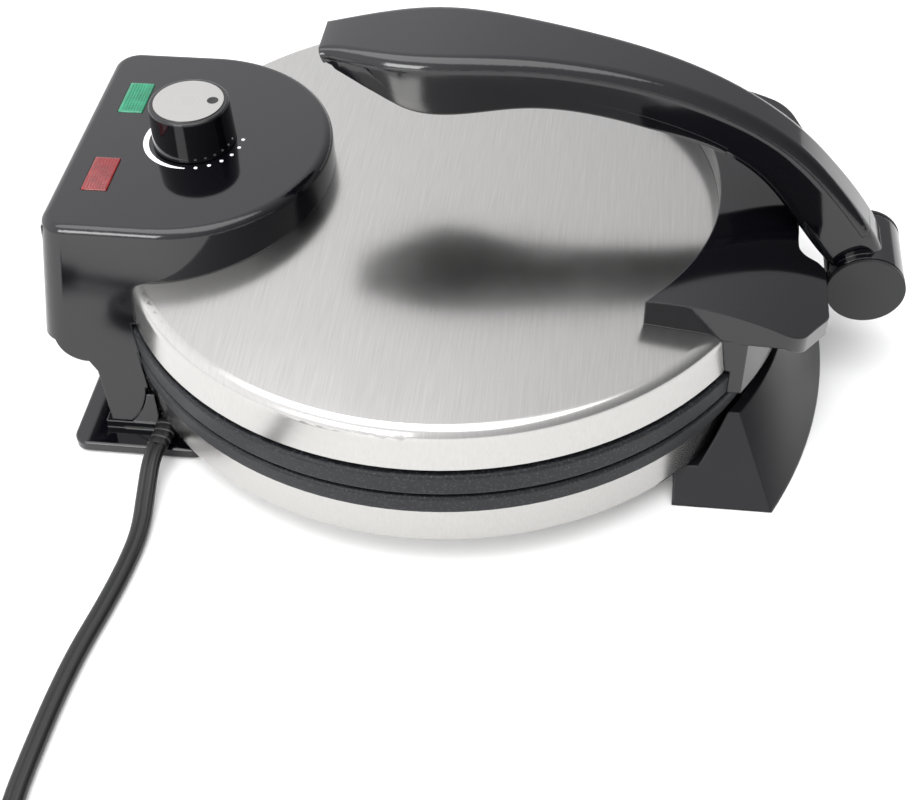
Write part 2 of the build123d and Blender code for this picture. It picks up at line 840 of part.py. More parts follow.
with BuildPart() as front_bracket:
    with BuildSketch(side_view()):
        with BuildLine():
            top_start = (tip_x - 2, tip_top_z)
            top_middle = (bracket_mid_x, lid_top_z - bracket_mid_drop)
            ThreePointArc(top_start, top_middle, bracket_top_end)
            Polyline(
                bracket_top_end,
                (bracket_top_end[0], bracket_top_end[1] - bracket_edge_thickness),
                (bracket_under_x, bracket_underside_z),
                (tip_x - 2, bracket_underside_z),
                top_start,
            )
        make_face()
    extrude(amount=flange_radius, both=True)
    with BuildSketch(level(parting_z)) as bracket_plan:
        with BuildLine():
            ThreePointArc(
                (tip_x, bracket_tip_half_width),
                (bracket_inner_radius, 0),
                (tip_x, -bracket_tip_half_width),
            )
            Polyline(
                (tip_x, -bracket_tip_half_width),
                *[(x, -y) for x, y in bracket_half_outline],
                *reversed(bracket_half_outline),
                (tip_x, bracket_tip_half_width),
            )
        make_face()
        for corner, radius in zip(
            bracket_half_outline,
            (bracket_wing_round, bracket_front_round, bracket_notch_round, bracket_notch_round),
        ):
            for x, y in spread(*corner):
                fillet(vertices().sort_by_distance((x, y, 0))[0], radius)
    extrude(amount=panel_z, mode=Mode.INTERSECT)
    # Apron that hugs the lid's skirt and hangs past the upper flange, with a tongue below it.
    with BuildSketch(level(apron_bottom_z)):
        Circle(apron_radius)
        with Locations((apron_radius, 0)):
            Rectangle(apron_radius, 2 * apron_half_width, mode=Mode.INTERSECT)
        Circle(flange_radius - spigot_thickness, mode=Mode.SUBTRACT)
    extrude(amount=bracket_underside_z + 1 - apron_bottom_z)
    with BuildSketch(level(tongue_bottom_z)):
        Circle(apron_radius)
        with Locations((apron_radius, 0)):
            Rectangle(apron_radius, 2 * tongue_half_width, mode=Mode.INTERSECT)
        Circle(flange_radius + tongue_gap, mode=Mode.SUBTRACT)
    extrude(amount=apron_bottom_z - tongue_bottom_z)
    # Lug that runs forward to the handle's pivot.
    with BuildSketch(side_view()):
        with BuildLine():
            Polyline(
                (lug_root_x, tongue_bottom_z),
                on_circle(pivot_point, lug_heel_radius, lug_heel_angle),
                on_circle(pivot_point, knuckle_radius, lug_bottom_angle),
                on_circle(pivot_point, knuckle_radius, lug_top_angle),
                on_circle(pivot_point, lug_throat_radius, lug_throat_angle),
                on_circle(pivot_point, lug_saddle_radius, lug_saddle_angle),
                on_circle(pivot_point, lug_crest_radius, lug_crest_angle),
                (lug_root_x, pivot_point[1] - lug_root_drop),
                close=True,
            )
        make_face()
        with Locations(pivot_point):
            Circle(knuckle_radius)
    extrude(amount=lug_half_width, both=True)
    with BuildSketch(side_view()):
        with Locations(pivot_point):
            Circle(pivot_pin_radius + press_fit)
    extrude(amount=lug_half_width + 1, both=True, mode=Mode.SUBTRACT)
    add(lid_cutter, mode=Mode.SUBTRACT)
    add(upper_flange_cutter, mode=Mode.SUBTRACT)
    with BuildSketch(level(lid_bottom_z)):
        with Locations(*bracket_screw_spots):
            Circle(screw_radius + press_fit)
        with Locations(*spread(lid_screw_front_x, lid_screw_front_y)):
            Circle(screw_head_radius + screw_fit)
    extrude(
        amount=dome_height(bracket_screw_x) + bracket_screw_pocket - lid_bottom_z,
        mode=Mode.SUBTRACT,
    )
finish(front_bracket.part, "front_bracket")

# ---------------------------------------------------------------- lid screws
finish(
    screws(
        [
            (dome_height(sqrt(x**2 + y**2) - screw_head_radius) + seat_fit, x, y)
            for x, y in lid_screw_spots
        ],
        -1,
        screw_grip,
    ),
    "lid_screws",
)
finish(
    screws(
        [
            (dome_height(sqrt(x**2 + y**2)) - sheet - swing_gap, x, y)
            for x, y in housing_screw_spots
        ],
        1,
        screw_grip,
    ),
    "housing_screws",
)
finish(
    screws(
        [
            (dome_height(sqrt(x**2 + y**2)) - sheet - 2 * swing_gap, x, y)
            for x, y in bracket_screw_spots
        ],
        1,
        bracket_screw_grip,
    ),
    "bracket_screws",
)

# ---------------------------------------------------------------- handle
with BuildPart() as handle_form:
    for top, under, half in handle_stations:
        middle = ((top[0] + under[0]) / 2, (top[1] + under[1]) / 2)
        rise = (top[0] - under[0], top[1] - under[1])
        height = sqrt(rise[0] ** 2 + rise[1] ** 2)
        section_plane = Plane(
            origin=(plate_x + pivot_x + middle[0], 0, pivot_z + middle[1]),
            x_dir=(0, 1, 0),
            z_dir=(rise[1], 0, -rise[0]),
        )
        with BuildSketch(section_plane):
            RectangleRounded(2 * half, height, min(handle_side_round, height / 2 - 0.4))
    loft()

with BuildPart() as cover_band:
    with BuildSketch(side_view()):
        with BuildLine():
            crease = Spline(
                *[
                    (
                        pivot_x + top[0] + (under[0] - top[0]) * handle_cover_depth / gap,
                        pivot_z + top[1] + (under[1] - top[1]) * handle_cover_depth / gap,
                    )
                    for top, under, half in handle_stations[:-1]
                    for gap in [sqrt((top[0] - under[0]) ** 2 + (top[1] - under[1]) ** 2)]
                ]
            )
            start, end = crease @ 0, crease @ 1
            Polyline(
                (end.X, end.Y),
                (end.X + 20, end.Y + 14),
                (end.X + 20, start.Y + 30),
                (start.X - 20, start.Y + 30),
                (start.X - 20, start.Y),
                (start.X, start.Y),
            )
        make_face()
    extrude(amount=2 * barrel_radius, both=True)

slot_half = lug_half_width + lug_side_gap
with BuildPart() as handle_body:
    add(handle_form.part)
    add(cover_band.part, mode=Mode.SUBTRACT)
    with BuildSketch(side_view()):
        with Locations(pivot_point):
            Circle(barrel_radius)
    extrude(amount=barrel_half_length, both=True)
    # Slot that swallows the bracket's lug and its knuckle over the handle's whole travel.
    with BuildSketch(side_view()):
        with Locations(pivot_point):
            Circle(knuckle_radius + knuckle_gap)
    extrude(amount=slot_half, both=True, mode=Mode.SUBTRACT)
    with BuildSketch(side_view()):
        with BuildLine():
            slot_reach = barrel_radius + 3.0
            slot_end = barrel_slot_start + barrel_slot_angle
            slot_middle = barrel_slot_start + barrel_slot_angle / 2
            first = on_circle(pivot_point, slot_reach, barrel_slot_start)
            last = on_circle(pivot_point, slot_reach, slot_end)
            Line(pivot_point, first)
            ThreePointArc(first, on_circle(pivot_point, slot_reach, slot_middle), last)
            Line(last, pivot_point)
        make_face()
    extrude(amount=slot_half, both=True, mode=Mode.SUBTRACT)
    with BuildSketch(side_view()):
        with Locations(pivot_point):
            Circle(pivot_pin_radius + running_fit)
    extrude(amount=barrel_half_length + 1, both=True, mode=Mode.SUBTRACT)
finish(handle_body.part, "handle_body")

with BuildPart() as handle_cover:
    add(handle_form.part)
    add(cover_band.part, mode=Mode.INTERSECT)
    with BuildSketch(side_view()):
        with Locations(pivot_point):
            Circle(barrel_radius)
    extrude(amount=barrel_half_length, both=True, mode=Mode.SUBTRACT)
finish(handle_cover.part, "handle_cover")

pin_half_length = barrel_half_length - 0.3
with BuildPart() as barrel_caps:
    for side in (1, -1):
        neck_plane = Plane(
            origin=(plate_x + pivot_x, side * barrel_half_length, pivot_z),
            x_dir=(1, 0, 0),
            z_dir=(0, side, 0),
        )
        with BuildSketch(neck_plane):
            Circle(barrel_radius - barrel_neck_inset)
        extrude(amount=barrel_neck_length)
        with BuildSketch(neck_plane.offset(barrel_neck_length)):
            Circle(barrel_radius)
        extrude(amount=barrel_cap_thickness)
finish(barrel_caps.part, "barrel_caps")

with BuildPart() as handle_pin:
    with BuildSketch(side_view()):
        with Locations(pivot_point):
            Circle(pivot_pin_radius)
    extrude(amount=pin_half_length, both=True)
finish(handle_pin.part, "handle_pin")

# ---------------------------------------------------------------- rear foot with its hinge ears
rear_foot_length = rear_foot_front_x - rear_foot_rear_x
rear_foot_middle_x = (rear_foot_front_x + rear_foot_rear_x) / 2
pedestal_middle_x = (pedestal_front_x + pedestal_rear_x) / 2
plinth_top_z = leg_bottom_z - swing_gap
pan_cutter = round_body(pan_radius + seat_fit, foot_height, lower_flange_bottom)
rear_pad_spots = spread(rear_pad_x, rear_pad_y)
front_pad_spots = spread(front_pad_x, front_pad_y)

with BuildPart() as leg_cradle:
    add(shroud_outer)
    add(flared_box(housing_wall, panel_z + 1, -1, 0), mode=Mode.SUBTRACT)
    with BuildSketch(side_view()):
        with BuildLine():
            Polyline(
                (hinge_x + leg_end_radius * 0.5, rear_foot_top),
                (cradle_front_x - cradle_foot_set_back, rear_foot_top),
                (cradle_front_x, leg_bottom_z + cradle_bend_rise),
                (cradle_front_x - cradle_head_set_back, cradle_top_z),
                (hinge_x + leg_end_radius * 0.5, cradle_top_z),
                close=True,
            )
        make_face()
        with Locations(hinge_point):
            Circle(leg_end_radius + leg_clearance, mode=Mode.SUBTRACT)
    extrude(amount=flange_radius, both=True, mode=Mode.INTERSECT)

with BuildPart() as rear_foot:
    with BuildSketch(level(rear_foot_ground_gap, rear_foot_middle_x)):
        RectangleRounded(rear_foot_length, 2 * rear_foot_half_width, rear_foot_corner)
    extrude(amount=rear_foot_thickness)
    fillet(rear_foot.faces().sort_by(Axis.Z)[-1].edges(), rear_foot_edge_round)
    with BuildSketch(level(rear_foot_top, pedestal_middle_x)):
        Rectangle(pedestal_front_x - pedestal_rear_x, 2 * pedestal_half_width)
    extrude(amount=foot_height - rear_foot_top)
    for side in (1, -1):
        plinth_middle = side * (plinth_inner_y + plinth_outer_y) / 2
        with BuildSketch(level(rear_foot_top, (plinth_rear_x + plinth_front_x) / 2, plinth_middle)):
            Rectangle(plinth_front_x - plinth_rear_x, plinth_outer_y - plinth_inner_y)
        extrude(amount=plinth_top_z - rear_foot_top)
        with BuildSketch(side_view(side * ear_middle_y)):
            with BuildLine():
                Polyline(
                    (hinge_x - hinge_ear_radius - 2, rear_foot_top),
                    (hinge_x + hinge_ear_radius + 2, rear_foot_top),
                    (hinge_x + hinge_ear_radius, hinge_z),
                    (hinge_x - hinge_ear_radius, hinge_z),
                    close=True,
                )
            make_face()
            with Locations(hinge_point):
                Circle(hinge_ear_radius)
        extrude(amount=hinge_ear_thickness / 2, both=True)
    add(leg_cradle.part)
    add(pan_cutter, mode=Mode.SUBTRACT)
    with BuildSketch(side_view()):
        with Locations(hinge_point):
            Circle(hinge_pin_radius + press_fit)
    extrude(amount=arm_inner_y, both=True, mode=Mode.SUBTRACT)
    with BuildSketch(level(0)):
        with Locations(*spread(foot_screw_rear_x, foot_screw_rear_y)):
            Circle(screw_head_radius + screw_fit)
    extrude(amount=screw_seat_z, mode=Mode.SUBTRACT)
    with BuildSketch(level(0)):
        with Locations(*spread(foot_screw_rear_x, foot_screw_rear_y)):
            Circle(screw_radius + screw_fit)
        with Locations(*rear_pad_spots):
            Circle(pad_radius + pad_fit)
    extrude(amount=rear_foot_ground_gap + pad_recess, mode=Mode.SUBTRACT)
    with BuildSketch(level(0)):
        with Locations(*spread(foot_screw_rear_x, foot_screw_rear_y)):
            Circle(screw_radius + screw_fit)
    extrude(amount=foot_height, mode=Mode.SUBTRACT)
finish(rear_foot.part, "rear_foot")

with BuildPart() as hinge_pins:
    for side in (1, -1):
        with BuildSketch(side_view(side * (ear_middle_y + arm_middle_y) / 2)):
            with Locations(hinge_point):
                Circle(hinge_pin_radius)
        extrude(amount=(arm_middle_y - hinge_ear_inner_y + hinge_arm_thickness / 2) / 2, both=True)
finish(hinge_pins.part, "hinge_pins")

# ---------------------------------------------------------------- front foot, pads and screws
with BuildPart() as front_foot:
    for height, half, corner_x, reach in (
        (
            front_foot_ground_gap,
            front_foot_bottom_half_width,
            flange_radius,
            flange_radius + front_foot_bottom_reach,
        ),
        (
            front_foot_top_z,
            front_foot_top_half_width,
            sqrt(front_foot_top_radius**2 - front_foot_top_half_width**2),
            front_foot_top_radius,
        ),
    ):
        with BuildSketch(level(height)):
            with BuildLine():
                Polyline(
                    (corner_x, half),
                    (front_foot_inner_x, half),
                    (front_foot_inner_x, -half),
                    (corner_x, -half),
                )
                ThreePointArc((corner_x, -half), (reach, 0), (corner_x, half))
            make_face()
    loft(ruled=True)
    with BuildSketch(level(foot_height)):
        Circle(flange_radius + leg_plate_clearance)
    extrude(amount=front_foot_top_z, mode=Mode.SUBTRACT)
    with BuildSketch(level(0)):
        with Locations(*spread(foot_screw_front_x, foot_screw_front_y)):
            Circle(screw_radius + screw_fit)
    extrude(amount=foot_height, mode=Mode.SUBTRACT)
    with BuildSketch(level(0)):
        with Locations(*spread(foot_screw_front_x, foot_screw_front_y)):
            Circle(screw_head_radius + screw_fit)
    extrude(amount=screw_seat_z, mode=Mode.SUBTRACT)
    with BuildSketch(level(0)):
        with Locations(*front_pad_spots):
            Circle(pad_radius + pad_fit)
    extrude(amount=front_foot_ground_gap + pad_recess, mode=Mode.SUBTRACT)
finish(front_foot.part, "front_foot")

with BuildPart() as rubber_pads:
    with BuildSketch(level(0)):
        with Locations(*rear_pad_spots):
            Circle(pad_radius)
    extrude(amount=rear_foot_ground_gap + pad_recess)
    with BuildSketch(level(0)):
        with Locations(*front_pad_spots):
            Circle(pad_radius)
    extrude(amount=front_foot_ground_gap + pad_recess)
finish(rubber_pads.part, "rubber_pads")

foot_screw_grip = pan_floor_z - screw_seat_z + screw_grip
finish(
    screws([(screw_seat_z, x, y) for x, y in screw_spots], 1, foot_screw_grip),
    "foot_screws",
)

# ---------------------------------------------------------------- power cord
cord_exit_x = hinge_x + cord_exit_offset
grommet_y = -pedestal_half_width - grommet_length
grommet_plane = side_view(-pedestal_half_width).shift_origin(
    (plate_x + cord_exit_x, -pedestal_half_width, cord_exit_z)
)
with BuildPart() as cord_grommet:
    with BuildSketch(grommet_plane):
        RectangleRounded(grommet_width, grommet_height, grommet_round)
        Circle(cord_radius, mode=Mode.SUBTRACT)
    extrude(amount=grommet_length)
finish(cord_grommet.part, "cord_grommet")

coil_centre_x = cord_exit_x - coil_centre_offset
coil_entry_x = coil_centre_x + coil_turn_radius
coil_tail_y = coil_centre_y - coil_turn_radius
# The cord's route, as distances from where it leaves the foot: it drops to the table, wanders in an
# easy S and runs into the put-away coil.
cord_route = [
    (0.0, grommet_y, cord_exit_z),
    (-1.1, -80.0, 8.8),
    (-3.7, -94.5, 8.3),
    (-2.3, -110.5, 4.6),
    (-0.3, -127.0, cord_radius),
    (-1.4, -144.5, cord_radius),
    (-4.1, -162.5, cord_radius),
    (-7.8, -181.5, cord_radius),
    (-9.9, -201.5, cord_radius),
    (-11.0, -222.0, cord_radius),
    (-11.5, -241.0, cord_radius),
    (coil_entry_x - cord_exit_x, -258.0, cord_radius),
]
# The tail from the coil to the plug, as distances from the coil's centre and its last turn.
tail_route = [
    (-15.0, 0.0, cord_radius),
    (-37.0, -0.4, 3.4),
    (-58.0, -2.4, 5.4),
    (-78.0, -5.4, plug_height / 2),
]


def cord_tube(route, origin_x, origin_y, name):
    """Sweep the cord along straight runs joined by tangent arcs, and print the radii.

    The route's X and Y are distances from an origin given from the plate axis.
    """
    points = [Vector(plate_x + origin_x + x, origin_y + y, z) for x, y, z in route]
    radii = []
    for before, here, after in zip(points, points[1:], points[2:]):
        shorter = min((here - before).length, (after - here).length)
        turn = radians((here - before).get_angle(after - here))
        radii.append(0.45 * shorter / tan(turn / 2))
    with BuildPart() as tube:
        with BuildLine() as path:
            FilletPolyline(*points, radius=radii)
        with BuildSketch(Plane(origin=path.line @ 0, z_dir=path.line % 0)):
            Circle(cord_radius)
        sweep()
    length = sum(edge.length for edge in path.edges())
    expected = pi * cord_radius**2 * length
    print(name, "radii", [round(radius) for radius in radii])
    print(name, "length", round(length), "volume", round(tube.part.volume), "of", round(expected))
    return tube.part


finish(cord_tube(cord_route, cord_exit_x, 0, "power_cord"), "power_cord")
finish(cord_tube(tail_route, coil_centre_x, coil_tail_y, "cord_tail"), "cord_tail")

with BuildPart() as cord_coil:
    coil_height = coil_layers * cord_thickness
    coil_point = (plate_x + coil_centre_x, coil_centre_y, 0)
    with BuildSketch(Plane(origin=coil_point, x_dir=(1, 0, 0), z_dir=(0, -1, 0))):
        with Locations((coil_turn_radius, coil_height / 2)):
            RectangleRounded(2 * cord_width, coil_height, cord_thickness / 2)
    revolve(axis=Axis(coil_point, (0, 0, 1)))
finish(cord_coil.part, "cord_coil")

plug_entry = tail_route[-1]
plug_direction = Vector(*tail_route[-1]) - Vector(*tail_route[-2])
plug_heading = Vector(plug_direction.X, plug_direction.Y, 0).normalized()
with BuildPart() as power_plug:
    front_plane = Plane(
        origin=(
            plate_x + coil_centre_x + plug_entry[0],
            coil_tail_y + plug_entry[1],
            plug_entry[2],
        ),
        x_dir=(-plug_heading.Y, plug_heading.X, 0),
        z_dir=plug_heading,
    )
    with BuildSketch(front_plane):
        RectangleRounded(plug_neck_width, plug_neck_height, plug_neck_round)
    with BuildSketch(front_plane.offset(plug_length / 2)):
        RectangleRounded(plug_width, plug_height, plug_round)
    loft()
    with BuildSketch(front_plane.offset(plug_length / 2)):
        RectangleRounded(plug_width, plug_height, plug_round)
    extrude(amount=plug_length / 2)
finish(power_plug.part, "power_plug")

with BuildPart() as plug_blades:
    with BuildSketch(front_plane.offset(plug_length)):
        with Locations((plug_blade_spacing / 2, 0), (-plug_blade_spacing / 2, 0)):
            Rectangle(plug_blade_thickness, plug_blade_width)
    extrude(amount=plug_blade_length)
finish(plug_blades.part, "plug_blades")
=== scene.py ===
"""Dresses the electric roti maker: its finishes, mains cord, plug, controls and small details.

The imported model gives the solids, and every place here is in its frame, in metres: +X runs from the
lid's hinge to the handle's pivot, +Z is up, and the feet stand on Z = 0.
"""

import logging
from dataclasses import dataclass
from enum import Enum
from math import cos, pi, radians, sin, tau

import bpy
from mathutils import Matrix, Vector


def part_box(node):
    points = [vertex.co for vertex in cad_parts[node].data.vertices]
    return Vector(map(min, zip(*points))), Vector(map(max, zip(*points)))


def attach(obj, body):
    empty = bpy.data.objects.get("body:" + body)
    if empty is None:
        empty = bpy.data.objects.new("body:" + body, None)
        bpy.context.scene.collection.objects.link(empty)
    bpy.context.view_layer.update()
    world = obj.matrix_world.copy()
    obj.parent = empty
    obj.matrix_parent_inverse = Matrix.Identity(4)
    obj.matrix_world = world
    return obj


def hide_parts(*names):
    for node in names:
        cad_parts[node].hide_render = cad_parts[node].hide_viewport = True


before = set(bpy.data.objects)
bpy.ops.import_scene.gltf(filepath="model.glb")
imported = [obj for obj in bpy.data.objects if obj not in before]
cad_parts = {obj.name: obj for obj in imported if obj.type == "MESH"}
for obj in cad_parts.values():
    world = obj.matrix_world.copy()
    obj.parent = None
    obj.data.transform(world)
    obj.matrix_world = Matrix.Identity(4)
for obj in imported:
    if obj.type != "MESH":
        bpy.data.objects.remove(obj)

log = logging.getLogger("roti_maker")
# A place, a direction or a size along X, Y and Z.
Point = tuple[float, float, float]
MM = 0.001
# A gap that keeps two faces from lying in one plane.
HAIR = 0.01 * MM
# Points nearer than this, in metres, are one point.
MERGE_DISTANCE = 1e-6
# Faces that meet at a smaller angle than this shade as one smooth surface.
SMOOTH_ANGLE = radians(35)
# Blender's noise keeps almost all of its values between these two.
NOISE_LOW, NOISE_HIGH = 0.25, 0.75


# ---------------------------------------------------------------- small helpers
def linear(hex_colour: str) -> tuple[float, float, float, float]:
    """Turns an sRGB hex colour into a linear one.

    Args:
        hex_colour: six hex digits after a hash.

    Returns:
        Red, green, blue and an alpha of 1.
    """
    channels = [int(hex_colour[i : i + 2], 16) / 255 for i in (1, 3, 5)]
    red, green, blue = (
        c / 12.92 if c <= 0.04045 else ((c + 0.055) / 1.055) ** 2.4 for c in channels
    )
    return red, green, blue, 1.0


def add_node(
    tree: bpy.types.NodeTree,
    kind: str,
    settings: dict[str, object] | None = None,
    inputs: dict[str | int, object] | None = None,
) -> bpy.types.Node:
    """Adds one node with its settings, its values and its links.

    Args:
        tree: the material's or world's node tree.
        kind: the node's type name.
        settings: attributes to set on the node.
        inputs: for each input, a value or a (node, output) pair to link from.

    Returns:
        The new node.
    """
    node = tree.nodes.new(kind)
    for name, value in (settings or {}).items():
        setattr(node, name, value)
    for name, value in (inputs or {}).items():
        socket = node.inputs[name]
        if isinstance(value, tuple) and isinstance(value[0], bpy.types.Node):
            tree.links.new(value[0].outputs[value[1]], socket)
        else:
            socket.default_value = value
    return node


def deselect_all() -> None:
    """Leaves nothing selected, so that an operator acts on the new piece alone."""
    if bpy.context.mode != "OBJECT":
        bpy.ops.object.mode_set(mode="OBJECT")
    bpy.ops.object.select_all(action="DESELECT")


def select_only(piece: bpy.types.Object) -> None:
    """Makes one object the active and only selected one.

    Args:
        piece: the object to select.
    """
    deselect_all()
    piece.select_set(True)
    bpy.context.view_layer.objects.active = piece


def new_piece(name: str) -> bpy.types.Object:
    """Names the primitive that was just added and returns it.

    Args:
        name: the name for its object and its mesh.

    Returns:
        The active object.
    """
    piece = bpy.context.active_object
    piece.name = name
    piece.data.name = name
    return piece


def apply_modifier(piece: bpy.types.Object, kind: str, **settings: object) -> None:
    """Adds a modifier with its settings and applies it.

    Args:
        piece: the object that it shapes.
        kind: the modifier's type name.
        **settings: attributes to set on the modifier.
    """
    select_only(piece)
    modifier = piece.modifiers.new(kind.title(), kind)
    for name, value in settings.items():
        setattr(modifier, name, value)
    bpy.ops.object.modifier_apply(modifier=modifier.name)


def tidy_mesh(piece: bpy.types.Object) -> None:
    """Merges doubles and turns every face outwards.

    Args:
        piece: a new piece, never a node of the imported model.
    """
    select_only(piece)
    bpy.ops.object.mode_set(mode="EDIT")
    bpy.ops.mesh.select_all(action="SELECT")
    bpy.ops.mesh.remove_doubles(threshold=MERGE_DISTANCE)
    bpy.ops.mesh.normals_make_consistent(inside=False)
    bpy.ops.object.mode_set(mode="OBJECT")


def settle(piece: bpy.types.Object, place: Matrix | None = None) -> None:
    """Puts a piece's place in its mesh, so that its object stands at the origin.

    Args:
        piece: the piece to settle and to shade smooth.
        place: a further move, made after the object's own place.
    """
    piece.data.transform((place or Matrix.Identity(4)) @ piece.matrix_basis)
    piece.matrix_basis = Matrix.Identity(4)
    select_only(piece)
    bpy.ops.object.shade_smooth_by_angle(angle=SMOOTH_ANGLE)


def join(pieces: list[bpy.types.Object], name: str) -> bpy.types.Object:
    """Joins several meshes into one piece.

    Args:
        pieces: the objects to join.
        name: the name of the joined piece.

    Returns:
        The joined piece.
    """
    select_only(pieces[0])
    for piece in pieces[1:]:
        piece.select_set(True)
    bpy.ops.object.join()
    return new_piece(name)


def ringed_form(
    name: str, rings: list[Point], squareness: float = 1.0, points: int = 48
) -> bpy.types.Object:
    """Extrudes one rounded outline through a row of rings into a closed form along +Z.

    Args:
        name: the piece's name.
        rings: the height, half width and half depth at each ring, in metres.
        squareness: 1 for an ellipse, less for an outline nearer to a rounded rectangle.
        points: how many corners the outline has.

    Returns:
        The closed form, standing at the origin.
    """
    deselect_all()
    bpy.ops.mesh.primitive_circle_add(vertices=points, radius=1, fill_type="NGON")
    piece = new_piece(name)
    start, half_width, half_depth = rings[0]
    for vertex in piece.data.vertices:
        x, y, _ = vertex.co
        square = [abs(c) ** squareness * (1 if c > 0 else -1) for c in (x, y)]
        vertex.co = (square[0] * half_width, square[1] * half_depth, start)
    bpy.ops.object.mode_set(mode="EDIT")
    bpy.ops.mesh.select_all(action="SELECT")
    for before, here in zip(rings, rings[1:]):
        rise = (0, 0, here[0] - before[0])
        bpy.ops.mesh.extrude_region_move(TRANSFORM_OT_translate={"value": rise})
        ratio = (here[1] / before[1], here[2] / before[2], 1)
        bpy.ops.transform.resize(value=ratio, center_override=(0, 0, here[0]))
    bpy.ops.object.mode_set(mode="OBJECT")
    tidy_mesh(piece)
    return piece


def dress(piece: bpy.types.Object, material: bpy.types.Material, body: str) -> None:
    """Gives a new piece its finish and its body.

    Args:
        piece: the new piece.
        material: its finish.
        body: the body that it rides on.
    """
    piece.data.materials.clear()
    piece.data.materials.append(material)
    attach(piece, body)


# ---------------------------------------------------------------- finishes
class Grain(Enum):
    """How a metal surface was worked."""

    STRAIGHT = "brushed along Y"
    TURNED = "turned about an axis"
    PLAIN = "mill finish"


@dataclass(frozen=True)
class Finish:
    """What every finish has: a name, a colour and a roughness that wanders a little.

    Attributes:
        name: the material's name.
        colour: the base colour as sRGB hex.
        roughness: the mean roughness.
        spread: how far the roughness wanders either way.
    """

    name: str
    colour: str
    roughness: float
    spread: float = 0.02

    def start(self) -> tuple[bpy.types.NodeTree, bpy.types.Node, bpy.types.Node]:
        """Makes the material with its shader, its output and Object coordinates.

        Returns:
            The node tree, the shader and the coordinate node.
        """
        material = bpy.data.materials.new(self.name)
        material.use_nodes = True
        tree = material.node_tree
        tree.nodes.clear()
        shader = add_node(
            tree,
            "ShaderNodeBsdfPrincipled",
            inputs={"Base Color": linear(self.colour), "Roughness": self.roughness},
        )
        add_node(tree, "ShaderNodeOutputMaterial", inputs={"Surface": (shader, "BSDF")})
        return tree, shader, add_node(tree, "ShaderNodeTexCoord")

    def noise(
        self,
        tree: bpy.types.NodeTree,
        vector: tuple[bpy.types.Node, str | int],
        size_mm: float,
        detail: float,
    ) -> bpy.types.Node:
        """Adds a noise whose largest features have a real size.

        Args:
            tree: the material's node tree.
            vector: the node and output with the coordinates.
            size_mm: the size of the largest features, in millimetres.
            detail: how many finer layers the noise has.

        Returns:
            The noise node.
        """
        return add_node(
            tree,
            "ShaderNodeTexNoise",
            inputs={"Vector": vector, "Scale": 1 / (size_mm * MM), "Detail": detail},
        )

    def vary_roughness(
        self, tree: bpy.types.NodeTree, shader: bpy.types.Node, source: bpy.types.Node
    ) -> None:
        """Lets a noise move the roughness about its mean.

        Args:
            tree: the material's node tree.
            shader: the node whose roughness moves.
            source: the node whose first output is the noise.
        """
        ranged = add_node(
            tree,
            "ShaderNodeMapRange",
            inputs={
                "Value": (source, 0),
                "From Min": NOISE_LOW,
                "From Max": NOISE_HIGH,
                "To Min": self.roughness - self.spread,
                "To Max": self.roughness + self.spread,
            },
        )
        tree.links.new(ranged.outputs[0], shader.inputs["Roughness"])

    def vary_colour(
        self, tree: bpy.types.NodeTree, shader: bpy.types.Node, source: bpy.types.Node, other: str
    ) -> None:
        """Lets a noise mix the base colour with another one.

        Args:
            tree: the material's node tree.
            shader: the node whose colour is mixed.
            source: the node whose first output is the noise.
            other: the second colour as sRGB hex.
        """
        mix = add_node(
            tree,
            "ShaderNodeMix",
            {"data_type": "RGBA"},
            {0: (source, 0), 6: linear(self.colour), 7: linear(other)},
        )
        tree.links.new(mix.outputs[2], shader.inputs["Base Color"])


@dataclass(frozen=True)
class Plastic(Finish):
    """Injection-moulded plastic: a smooth or grained skin whose moulded edges are a little round.

    Attributes:
        skin_mm: the size of the skin's grain or slow waves.
        relief_mm: how deep the grain is.
        edge_mm: the radius that a moulded edge catches the light with.
        ior: the index of refraction.
        specular: how strongly the skin mirrors, 0.5 being plain for its index of refraction.
        cloud_mm: the size of the patches in which the gloss wanders.
    """

    skin_mm: float = 12.0
    relief_mm: float = 0.01
    edge_mm: float = 0.6
    ior: float = 1.54
    specular: float = 0.5
    cloud_mm: float = 45.0

    def build(self) -> bpy.types.Material:
        """Makes the material.

        Returns:
            The finished material.
        """
        tree, shader, place = self.start()
        shader.inputs["IOR"].default_value = self.ior
        shader.inputs["Specular IOR Level"].default_value = self.specular
        skin = self.noise(tree, (place, "Object"), self.skin_mm, 2)
        cloud = self.noise(tree, (place, "Object"), self.cloud_mm, 3)
        edge = add_node(tree, "ShaderNodeBevel", {"samples": 4}, {"Radius": self.edge_mm * MM})
        bump = add_node(
            tree,
            "ShaderNodeBump",
            inputs={
                "Height": (skin, 0),
                "Distance": self.relief_mm * MM,
                "Normal": (edge, 0),
            },
        )
        tree.links.new(bump.outputs[0], shader.inputs["Normal"])
        self.vary_roughness(tree, shader, cloud)
        return bpy.data.materials[self.name]


